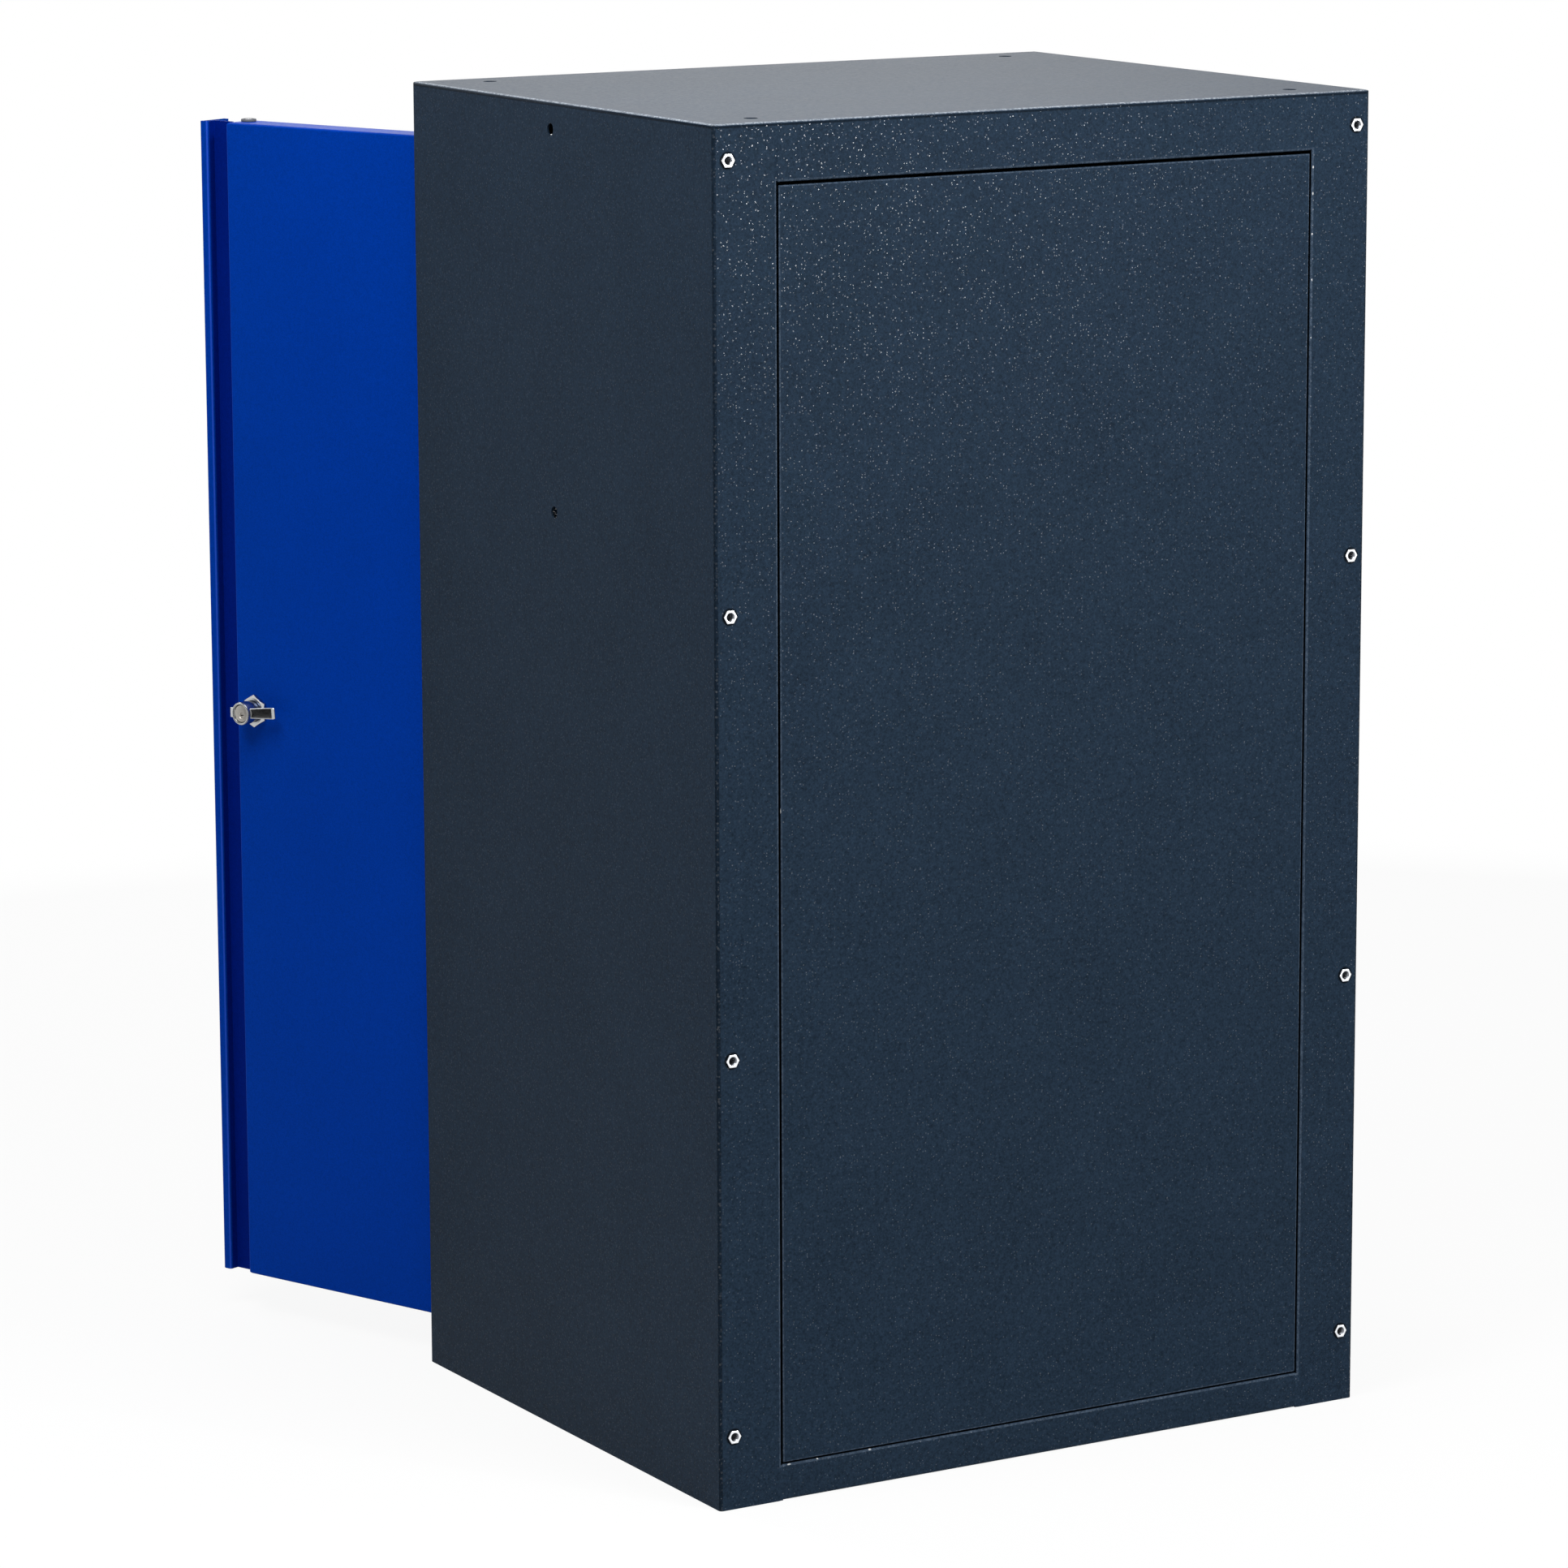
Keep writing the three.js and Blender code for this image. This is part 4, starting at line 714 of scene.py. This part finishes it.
def bored(profile, steps, ring=ring_y):
    """Revolved piece with a bore, from a closed profile of radius and place."""
    return loft([ring(r, y, steps) for r, y in profile], closed=True)


def turned(profile, steps, ring=ring_y):
    """Revolved solid piece, capped flat at both ends."""
    return loft([ring(r, y, steps) for r, y in profile])


def threads(radius, depth, start, end, pitch):
    """Profile of a row of V grooves."""
    count = int(abs(end - start) / pitch)
    step = (end - start) / count
    points = []
    for i in range(count):
        points.append((radius, start + i * step))
        points.append((radius + depth, start + (i + 0.5) * step))
    points.append((radius, end))
    return points


def smooth_copy(node, material, body, slot):
    """A frame node with its folds shaded round and its flats kept flat."""
    source = frame["nodes"][node].data
    mesh = bpy.data.meshes.new(node + "_folded")
    shape = bmesh.new()
    shape.from_mesh(source)
    bmesh.ops.remove_doubles(shape, verts=shape.verts, dist=SHEET_MERGE)
    bmesh.ops.dissolve_limit(
        shape, angle_limit=FLAT_CREASE, verts=shape.verts, edges=shape.edges
    )
    clean = bmesh.new()
    verts = [clean.verts.new(v.co) for v in shape.verts]
    shape.verts.index_update()
    for face in shape.faces:
        clean.faces.new([verts[v.index] for v in face.verts])
    clean.to_mesh(mesh)
    clean.free()
    shape.free()
    smooth_by_angle(mesh, SHEET_CREASE)
    thing = piece(node + "_folded", mesh, material, body, slot, node)
    level = thing.modifiers.new("Flat faces", "WEIGHTED_NORMAL")
    level.keep_sharp = True
    level.weight = 100


def upright_piece(node, shape, finish, body, slot):
    """Puts a turned shape on the upright axis of the node that it stands for."""
    low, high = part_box(node)
    middle = (low + high) / 2
    mesh = finished_mesh(
        node + "_fine", [shape], Matrix.Translation((middle.x, middle.y, 0))
    )
    piece(node + "_fine", mesh, finishes[finish], body, slot, node)


def ends(node, up):
    """Heights of the node's two ends, the lower one first where up is 1."""
    low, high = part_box(node)
    return (low.z, high.z) if up > 0 else (high.z, low.z)


class CABINET_OT_finishes(Operator):
    """Makes the powder coats, the plated metals and the plastic"""

    bl_idname = "cabinet.finishes"
    bl_label = "Finishes"

    def execute(self, context):
        paint = context.scene.cabinet_paint
        blue = tuple(paint.door)
        finishes["body"] = textured_coat("Body coat", tuple(paint.body), paint, 0.02)
        finishes["shelf"] = textured_coat("Shelf coat", tuple(paint.body), paint, 0.0)
        finishes["door"] = satin_coat("Door coat", blue, paint)
        finishes["grip_door"] = satin_coat("Grip door coat", blue, paint, channel=True)
        for key, metal in METALS.items():
            finishes[key] = plated(*metal)
        finishes["plastic"] = moulded("Grey plastic", (0.085, 0.09, 0.1))
        return {"FINISHED"}


class CABINET_OT_carcass(Operator):
    """Dresses the outer shell, the base tray and the back panel"""

    bl_idname = "cabinet.carcass"
    bl_label = "Carcass"

    def execute(self, context):
        for node in ("outer_shell", "bottom_panel", "back_panel"):
            smooth_copy(node, finishes["body"], "carcass", "body_paint")
        crown, foot = BODY_HEIGHT - FOLD + 0.1 * MM, 0.1 * MM
        for side, name in ((1, "right"), (-1, "left")):
            for end, half, lintel, place in (
                (1, REAR_OPENING_HALF, REAR_OPENING_TOP, "rear"),
                (-1, FRONT_OPENING_HALF, FRONT_OPENING_TOP, "front"),
            ):
                self.weld(f"upper_weld_{name}_{place}", side, end, half, lintel, crown)
                self.weld(f"lower_weld_{name}_{place}", side, end, half, BASE_BAND, foot)
        return {"FINISHED"}

    def weld(self, name, side, end, half, edge, far):
        """Ground weld from the opening's edge to the far end of the joint at its corner."""
        inner, root, outer = -0.5 * MM, 0.6 * MM, 2.1 * MM
        back = BODY_HALF_DEPTH - 2.1 * MM
        flush = 0.02
        away = 1 if far > edge else -1
        levels = [(edge + away * up * MM, sunk) for up, sunk in (
            (0.3, 1.8), (0.6, 1.0), (1.2, 0.4), (2.1, flush))]
        rings = []
        for z, sunk in levels + [(far, flush)]:
            face = BODY_HALF_DEPTH - sunk * MM
            rings.append([
                (side * (half + across), end * depth, z) for across, depth in (
                    (inner, face), (outer, face), (root, back), (inner, back))
            ])
        mesh = finished_mesh(name, [loft(rings)], Matrix())
        piece(name, mesh, finishes["body"], "carcass", "body_paint")


class CABINET_OT_inserts(Operator):
    """Builds the threaded inserts with chamfered rims and threads"""

    bl_idname = "cabinet.inserts"
    bl_label = "Threaded inserts"

    def execute(self, context):
        sizes = context.scene.cabinet_fittings
        for side in ("left", "right"):
            for row in INSERT_ROWS:
                node = f"threaded_insert_{side}_{row}"
                low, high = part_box(node)
                middle = (low + high) / 2
                place = Matrix.Translation((middle.x, 0, middle.z))
                shell, bore = self.shapes(sizes, low.y, high.y)
                mesh = finished_mesh(node + "_rim", [shell], place)
                piece(node + "_rim", mesh, finishes["zinc"], "carcass", "zinc", node)
                mesh = finished_mesh(node + "_bore", [bore], place)
                piece(node + "_bore", mesh, finishes["thread"], "carcass", "zinc", node)
        return {"FINISHED"}

    def shapes(self, sizes, end, face):
        """The insert with its hexagonal rim, and the dark threads that line it, darkened by oil
        and by painted shade.
        """
        flats = sizes.rim_flats
        seat = face - sizes.rim_height
        tip, sleeve, bulge, lined = 2.9 * MM, 3.0 * MM, 3.7 * MM, 2.5 * MM
        lining, core, groove = 2.51 * MM, 2.1 * MM, 0.3 * MM

        def rim(cut):
            return lambda angle: hexagon_radius(angle, flats - cut)

        shell = bored([
            (tip, end), (sleeve, end + 0.15 * MM), (sleeve, seat - 3.5 * MM),
            (bulge, seat - 2.4 * MM), (bulge, seat - 1.3 * MM), (sleeve, seat - 1.15 * MM),
            (sleeve, seat), (rim(0), seat), (rim(0), face - 0.2 * MM),
            (rim(0.12 * MM), face - 0.06 * MM), (rim(0.4 * MM), face),
            (2.62 * MM, face), (lined, face - 0.05 * MM), (lined, end),
        ], RIM_STEPS)
        profile = [(lining, end), (lining, face - 0.1 * MM), (2.4 * MM, face - 0.1 * MM)]
        profile += threads(core, groove, face - 0.5 * MM, end + 0.6 * MM, sizes.thread_pitch)
        profile.append((core, end))
        return shell, bored(profile, BORE_STEPS)


class CABINET_OT_right_door(Operator):
    """Dresses the folded door with the grip channel"""

    bl_idname = "cabinet.right_door"
    bl_label = "Right door"

    def execute(self, context):
        smooth_copy("right_door_panel", finishes["grip_door"], "right_door", "door_paint")
        smooth_copy("right_door_stiffener", finishes["door"], "right_door", "door_paint")
        return {"FINISHED"}


class CABINET_OT_left_door(Operator):
    """Dresses the shut door with its overlap strip"""

    bl_idname = "cabinet.left_door"
    bl_label = "Left door"

    def execute(self, context):
        for node in ("left_door_panel", "left_door_stiffener", "overlap_strip"):
            smooth_copy(node, finishes["door"], "left_door", "door_paint")
        smooth_copy("catch_strike", finishes["zinc"], "left_door", "zinc")
        return {"FINISHED"}


class CABINET_OT_lock(Operator):
    """Builds the collar, the barrel, the lever and the key plug of the lock"""

    bl_idname = "cabinet.lock"
    bl_label = "Lever lock"

    def execute(self, context):
        soft = context.scene.cabinet_fittings.soft_edge
        chrome = finishes["chrome"]
        self.put("lock_collar", [self.collar()], chrome, "right_door")
        self.put("lock_housing", [self.housing()], finishes["barrel"], "right_door")
        self.put("lever_handle", self.lever(soft), chrome, "lock_lever")
        self.put("key_plug", self.plug(), finishes["cast"], "key_cylinder")
        for node in ("lock_nut", "lock_cam", "cam_screw"):
            coat(frame["nodes"][node].data, finishes["zinc"])
        return {"FINISHED"}

    def put(self, node, shapes, material, body):
        mesh = finished_mesh(node + "_fine", shapes, LOCK_PLACE)
        piece(node + "_fine", mesh, material, body, "chrome", node)

    def collar(self):
        """Hexagon whose corners are cut by a cone towards its face."""
        flats, length, cone = 17.4 * MM, 2.8 * MM, 1.2 * MM
        back = -0.15 * MM
        front = back - length
        corner = flats / 2 / cos(pi / 6)
        face, bore = 8.2 * MM, 6.0 * MM
        steps = 10
        rings = [hexagon_ring(flats, bore, back), hexagon_ring(flats, corner, back)]
        for i in range(steps + 1):
            share = i / steps
            limit = corner + (face - corner) * share
            rings.append(hexagon_ring(flats, limit, front + cone * (1 - share)))
        for radius, sunk in ((7.0, 0), (6.5, 0.1), (6.0, 0.4)):
            rings.append(hexagon_ring(flats, radius * MM, front + sunk * MM))
        shape = loft(rings, closed=True)
        bmesh.ops.remove_doubles(shape, verts=shape.verts, dist=COLLAR_MERGE)
        return shape

    def housing(self):
        """Smooth barrel before the door, and its threaded shank behind."""
        front, shoulder, end = -7 * MM, -3.1 * MM, 9 * MM
        bore, barrel, shank, groove = 4.2 * MM, 6.3 * MM, 5.8 * MM, 0.35 * MM
        profile = [
            (bore, front), (6.05 * MM, front), (barrel, front + 0.25 * MM),
            (barrel, shoulder), (shank, shoulder),
        ]
        profile += [(r - groove, y) for r, y in threads(
            shank, groove, shoulder + 0.4 * MM, 8.4 * MM, 1 * MM)]
        profile += [(5.5 * MM, end), (bore, end)]
        return bored(profile, BARREL_STEPS)

    def lever(self, soft):
        """Knob with its spindle and the seat for the plug, the arm and the short tail."""
        back = -7.3 * MM
        front = back - 6.7 * MM
        edge, rim, spindle, plug_seat = 6.75 * MM, 7 * MM, 4 * MM, 5.4 * MM
        tip, screw, screw_floor, middle = 10.3 * MM, 2.15 * MM, 3.5 * MM, 0.01 * MM
        knob = bored([
            (6.25 * MM, front), (edge, front + 0.12 * MM), (rim, front + 0.5 * MM),
            (rim, back - 0.3 * MM), (edge, back), (spindle, back),
            (spindle, 10.0 * MM), (3.7 * MM, tip), (screw, tip),
            (screw, screw_floor), (middle, screw_floor), (middle, back - 1 * MM),
            (plug_seat, back - 1 * MM), (plug_seat, front + 1.0 * MM),
            (5.75 * MM, front + 0.15 * MM),
        ], KNOB_STEPS)
        return [knob, self.arm(front, soft), self.tail(front, soft)]

    def arm(self, front, soft):
        """Arm that grows taller and thinner towards its tip."""
        sections = []
        start, reach = 4 * MM, 24 * MM
        tip_share = 0.95
        rise = Matrix.Rotation(radians(-5), 3, "Y")
        for share in (0, 0.2, 0.45, 0.7, 0.88, tip_share, 0.985, 1):
            x = start + (reach - start) * share
            close = max(0, (share - tip_share) / 0.05) * soft
            tall = (2.8 + 0.8 * x / reach) * MM - close
            y0 = front + (0.8 + 3.5 * x / reach) * MM + close
            y1 = front + (5.3 + 0.45 * x / reach) * MM - close
            sections.append([
                rise @ Vector((x, y, z)) for y, z in softened(y0, y1, -tall, tall, soft)
            ])
        return loft(sections)

    def tail(self, front, soft):
        """Short stub opposite the arm, drawn in towards its end."""
        sections = []
        for x, close in ((-5, 0), (-8.6, 0), (-9.1, 0.35), (-9.3, 0.8)):
            y0, y1 = front + (0.8 + close) * MM, front + (5.3 - close) * MM
            tall = (3 - close) * MM
            sections.append([
                (x * MM, y, z) for y, z in softened(y0, y1, -tall, tall, soft)
            ])
        return loft(sections)

    def plug(self):
        """Plug with a rounded rim, a round recess low in its face, and the keyway in that."""
        front, back = -13.4 * MM, -8.6 * MM
        aside, down = 0.5 * MM, -1.1 * MM
        dish_floor, keyway_floor = 0.75, 3.6
        shape = bmesh.new()

        def circle(radius, y, across=0.0, up=0.0):
            return [
                shape.verts.new((across + radius * cos(a), y, up + radius * sin(a)))
                for a in (2 * pi * k / BORE_STEPS for k in range(BORE_STEPS))
            ]

        def wall(low, high):
            for k in range(len(low)):
                n = (k + 1) % len(low)
                shape.faces.new((low[k], low[n], high[n], high[k]))

        def fill(*loops):
            edges = [
                shape.edges.get((loop[k], loop[(k + 1) % len(loop)]))
                for loop in loops for k in range(len(loop))
            ]
            bmesh.ops.triangle_fill(shape, edges=edges, use_beauty=True)

        rim = [(4.75, 0), (5.0, 0.08), (5.2, 0.35), (5.2, (back - front) / MM)]
        rows = [circle(r * MM, front + y * MM) for r, y in rim]
        for low, high in zip(rows, rows[1:]):
            wall(low, high)
        shape.faces.new(rows[-1])
        dish = [circle(r * MM, front + y * MM, aside, down)
                for r, y in ((2.1, 0), (1.95, 0.12), (1.7, dish_floor))]
        for low, high in zip(dish, dish[1:]):
            wall(low, high)
        half, tall = 1.25 * MM, 0.4 * MM
        slot = [(-half, -tall), (-0.2 * half, -tall), (0.1 * half, 0), (half, 0), (half, tall),
                (-half, tall)]
        mouth, floor = [
            [shape.verts.new((aside + x, front + y * MM, z + down)) for x, z in slot]
            for y in (dish_floor, keyway_floor)
        ]
        wall(mouth, floor)
        shape.faces.new(floor)
        fill(rows[0], dish[0])
        fill(dish[-1], mouth)
        return [shape]


def softened(a0, a1, b0, b1, radius):
    """Rounded rectangle from its limits in two directions."""
    corners = [(a1 - radius, b1 - radius), (a0 + radius, b1 - radius),
               (a0 + radius, b0 + radius), (a1 - radius, b0 + radius)]
    points = []
    for quarter, (a, b) in enumerate(corners):
        for i in range(SOFT_EDGE_STEPS + 1):
            angle = (quarter + i / SOFT_EDGE_STEPS) * pi / 2
            points.append((a + radius * cos(angle), b + radius * sin(angle)))
    return points


class CABINET_OT_rods(Operator):
    """Dresses the lock rods, their guides, brackets and keepers"""

    bl_idname = "cabinet.rods"
    bl_label = "Lock rods"

    def execute(self, context):
        smooth_copy("top_rod", finishes["rod"], "upper_rod", "zinc")
        smooth_copy("bottom_rod", finishes["rod"], "lower_rod", "zinc")
        for place in ("top", "bottom"):
            smooth_copy(f"rod_bracket_{place}", finishes["zinc"], "right_door", "zinc")
            coat(frame["nodes"][f"rod_keeper_{place}"].data, finishes["zinc"])
            self.guide(place)
        return {"FINISHED"}

    def guide(self, place):
        """Flanged bush with rounded rims."""
        node = f"rod_guide_{place}"
        up = 1 if place == "top" else -1
        end, rim = ends(node, up)
        sleeve, flange = 3.8 * MM, 4.6 * MM
        seat = rim - up * 1.5 * MM
        shape = bored([
            (3.3 * MM, end), (sleeve, end), (sleeve, seat),
            (4.45 * MM, seat), (flange, rim - up * 1.3 * MM),
            (flange, rim - up * 0.5 * MM), (4.4 * MM, rim - up * 0.12 * MM),
            (4.05 * MM, rim), (3.55 * MM, rim), (3.35 * MM, rim - up * 0.2 * MM),
        ], BORE_STEPS, ring_z)
        upright_piece(node, shape, "plastic", "right_door", "plastic")


class CABINET_OT_pivots(Operator):
    """Builds the door pins and their flanged bushes"""

    bl_idname = "cabinet.pivots"
    bl_label = "Door pivots"

    def execute(self, context):
        for side in ("right", "left"):
            for place, up in (("top", 1), ("bottom", -1)):
                self.bush(f"pivot_bush_{side}_{place}", up)
                self.pin(f"{side}_pivot_pin_{place}", f"{side}_door", up)
        return {"FINISHED"}

    def bush(self, node, up):
        """Flanged bush in the body's lip, from its flange at the leaf to its far end."""
        leaf, end = ends(node, up)
        lip = end - up * 4 * MM
        seat = lip - up * 0.15 * MM
        bore, flange, sleeve = 2.7 * MM, 4.7 * MM, 3.8 * MM
        shape = bored([
            (bore, leaf + up * 0.15 * MM), (2.9 * MM, leaf), (4.4 * MM, leaf),
            (flange, leaf + up * 0.3 * MM), (flange, seat),
            (sleeve, seat), (sleeve, end - up * 0.4 * MM),
            (3.5 * MM, end), (bore, end),
        ], PIVOT_STEPS, ring_z)
        upright_piece(node, shape, "plastic", "carcass", "plastic")

    def pin(self, node, body, up):
        """Headed pin with a pointed end, from its head in the door."""
        head, end = ends(node, up)
        broad, shank = 3.6 * MM, 2.5 * MM
        neck = head + up * 2 * MM
        shape = turned([
            (3.2 * MM, head), (3.5 * MM, head + up * 0.15 * MM), (broad, head + up * 0.4 * MM),
            (broad, neck), (shank, neck),
            (shank, end - up * 0.7 * MM), (2.3 * MM, end - up * 0.2 * MM), (1.9 * MM, end),
        ], PIVOT_STEPS, ring_z)
        upright_piece(node, shape, "zinc", body, "zinc")


class CABINET_OT_shelving(Operator):
    """Dresses the slotted rails, the clips and the shelves"""

    bl_idname = "cabinet.shelving"
    bl_label = "Shelving"

    def execute(self, context):
        for place in ("front", "rear"):
            for side in ("left", "right"):
                smooth_copy(
                    f"shelf_rail_{side}_{place}", finishes["body"], "carcass", "body_paint"
                )
                for shelf in SHELVES:
                    smooth_copy(
                        f"shelf_clip_{shelf}_{side}_{place}", finishes["zinc"], "carcass", "zinc"
                    )
        for shelf in SHELVES:
            smooth_copy(f"shelf_{shelf}", finishes["shelf"], "carcass", "body_paint")
        return {"FINISHED"}


class CABINET_OT_catch(Operator):
    """Dresses the magnetic catch"""

    bl_idname = "cabinet.catch"
    bl_label = "Magnetic catch"

    def execute(self, context):
        smooth_copy("magnet_catch", finishes["plastic"], "carcass", "plastic")
        return {"FINISHED"}


class CABINET_OT_stage(Operator):
    """Sets the pale floor, the light and the camera"""

    bl_idname = "cabinet.stage"
    bl_label = "Studio"

    def execute(self, context):
        sizes = context.scene.cabinet_stage
        self.floor(sizes)
        self.world(context, sizes)
        self.lamps(sizes)
        self.camera(context, sizes)
        context.scene.view_settings.view_transform = "Standard"
        return {"FINISHED"}

    def floor(self, sizes):
        radius, sides = 30, 96
        shape = bmesh.new()
        bmesh.ops.create_circle(shape, cap_ends=True, radius=radius, segments=sides)
        mesh = bpy.data.meshes.new("studio_floor")
        shape.to_mesh(mesh)
        shape.free()
        finish = Finish("Studio floor", Roughness=0.9, Specular_IOR_Level=0.0)
        finish.feed(Base_Color=tuple(sizes.floor))
        x, y = finish.axes(finish.place())[:2]
        away = ((x * x + y * y) / sizes.floor_reach ** 2).ramp(0.1, 1)
        white = finish.node("ShaderNodeEmission", inputs={"Color": (1.0, 1.0, 1.0)})
        both = finish.node("ShaderNodeMixShader", inputs={
            0: finish.background_seen() * away.most(sizes.floor_lift),
            1: Wire(finish, finish.shader.outputs[0]), 2: white,
        })
        output = finish.tree.nodes["Material Output"]
        finish.tree.links.new(both.socket, output.inputs["Surface"])
        mesh.materials.append(finish.material)
        floor = bpy.data.objects.new("studio_floor", mesh)
        bpy.context.scene.collection.objects.link(floor)

    def world(self, context, sizes):
        """White where it is seen, mirrored or looked through, and a dim even fill elsewhere."""
        world = bpy.data.worlds.new("Studio")
        world.use_nodes = True
        context.scene.world = world
        nodes = Nodes(world.node_tree)
        strength = sizes.fill + (1 - sizes.fill) * nodes.background_seen()
        sky = world.node_tree.nodes["Background"]
        nodes.join(sky.inputs["Color"], (1.0, 1.0, 1.0))
        nodes.join(sky.inputs["Strength"], strength)

    def lamps(self, sizes):
        for name, (place, size, share) in LAMPS.items():
            self.lamp(name, place, size, sizes.lamp_power * share)
        self.dark_card()

    def dark_card(self):
        """Black card that only mirror-like metal shows, to give the lock's lever its contrast."""
        half, foot, top = 0.2, 0.02, 0.62
        place, turn = (1.135, -0.401, 0), radians(-5.3)
        shape = bmesh.new()
        corners = [(0, -half, foot), (0, half, foot), (0, half, top), (0, -half, top)]
        shape.faces.new([shape.verts.new(corner) for corner in corners])
        mesh = bpy.data.meshes.new("dark_card")
        shape.to_mesh(mesh)
        shape.free()
        finish = Finish("Dark card", Roughness=1.0, Specular_IOR_Level=0.0)
        finish.feed(Base_Color=(0.004, 0.004, 0.005))
        mesh.materials.append(finish.material)
        card = bpy.data.objects.new("dark_card", mesh)
        card.location = place
        card.rotation_euler.z = turn
        card.visible_camera = card.visible_diffuse = card.visible_shadow = False
        bpy.context.scene.collection.objects.link(card)

    def lamp(self, name, place, size, power):
        data = bpy.data.lights.new(name, "AREA")
        data.shape = "DISK"
        data.size = size
        data.energy = power
        lamp = bpy.data.objects.new(name, data)
        lamp.location = place
        lamp.visible_camera = False
        aim = LAMP_AIM - Vector(place)
        lamp.rotation_euler = aim.to_track_quat("-Z", "Y").to_euler()
        bpy.context.scene.collection.objects.link(lamp)

    def camera(self, context, sizes):
        data = bpy.data.cameras.new("Camera")
        data.lens = sizes.lens
        data.sensor_width = SENSOR_WIDTH
        data.sensor_height = SENSOR_WIDTH
        data.sensor_fit = "HORIZONTAL"
        data.clip_end = 100
        yaw, pitch, roll = CAMERA_YAW, CAMERA_PITCH, CAMERA_ROLL
        ahead = Vector((cos(pitch) * cos(yaw), cos(pitch) * sin(yaw), sin(pitch)))
        across = ahead.cross(Vector((0, 0, 1))).normalized()
        above = across.cross(ahead)
        right = cos(roll) * across + sin(roll) * above
        up = cos(roll) * above - sin(roll) * across
        turn = Matrix((right, up, -ahead)).transposed().to_4x4()
        camera = bpy.data.objects.new("Camera", data)
        camera.matrix_world = Matrix.Translation(Vector(CAMERA_PLACE) * MM) @ turn
        context.scene.collection.objects.link(camera)
        context.scene.camera = camera


class CABINET_PT_steps(Panel):
    """Lists the steps in the sidebar"""

    bl_idname = "CABINET_PT_steps"
    bl_label = "Cabinet"
    bl_space_type = "VIEW_3D"
    bl_region_type = "UI"
    bl_category = "Cabinet"

    def draw(self, context):
        for step in STEPS:
            self.layout.operator(step.bl_idname)


SETTINGS = {
    "cabinet_paint": PaintSizes,
    "cabinet_fittings": FittingSizes,
    "cabinet_stage": StageSizes,
}

STEPS = (
    CABINET_OT_stage,
    CABINET_OT_finishes,
    CABINET_OT_carcass,
    CABINET_OT_inserts,
    CABINET_OT_right_door,
    CABINET_OT_left_door,
    CABINET_OT_lock,
    CABINET_OT_rods,
    CABINET_OT_pivots,
    CABINET_OT_shelving,
    CABINET_OT_catch,
)


def register():
    for group in SETTINGS.values():
        bpy.utils.register_class(group)
    for name, group in SETTINGS.items():
        setattr(bpy.types.Scene, name, PointerProperty(type=group))
    for step in STEPS:
        bpy.utils.register_class(step)
    bpy.utils.register_class(CABINET_PT_steps)


def unregister():
    bpy.utils.unregister_class(CABINET_PT_steps)
    for step in reversed(STEPS):
        bpy.utils.unregister_class(step)
    for name, group in SETTINGS.items():
        delattr(bpy.types.Scene, name)
        bpy.utils.unregister_class(group)


def main():
    register()
    for step in STEPS:
        family, name = step.bl_idname.split(".")
        getattr(getattr(bpy.ops, family), name)()


if __name__ == "__main__":
    main()
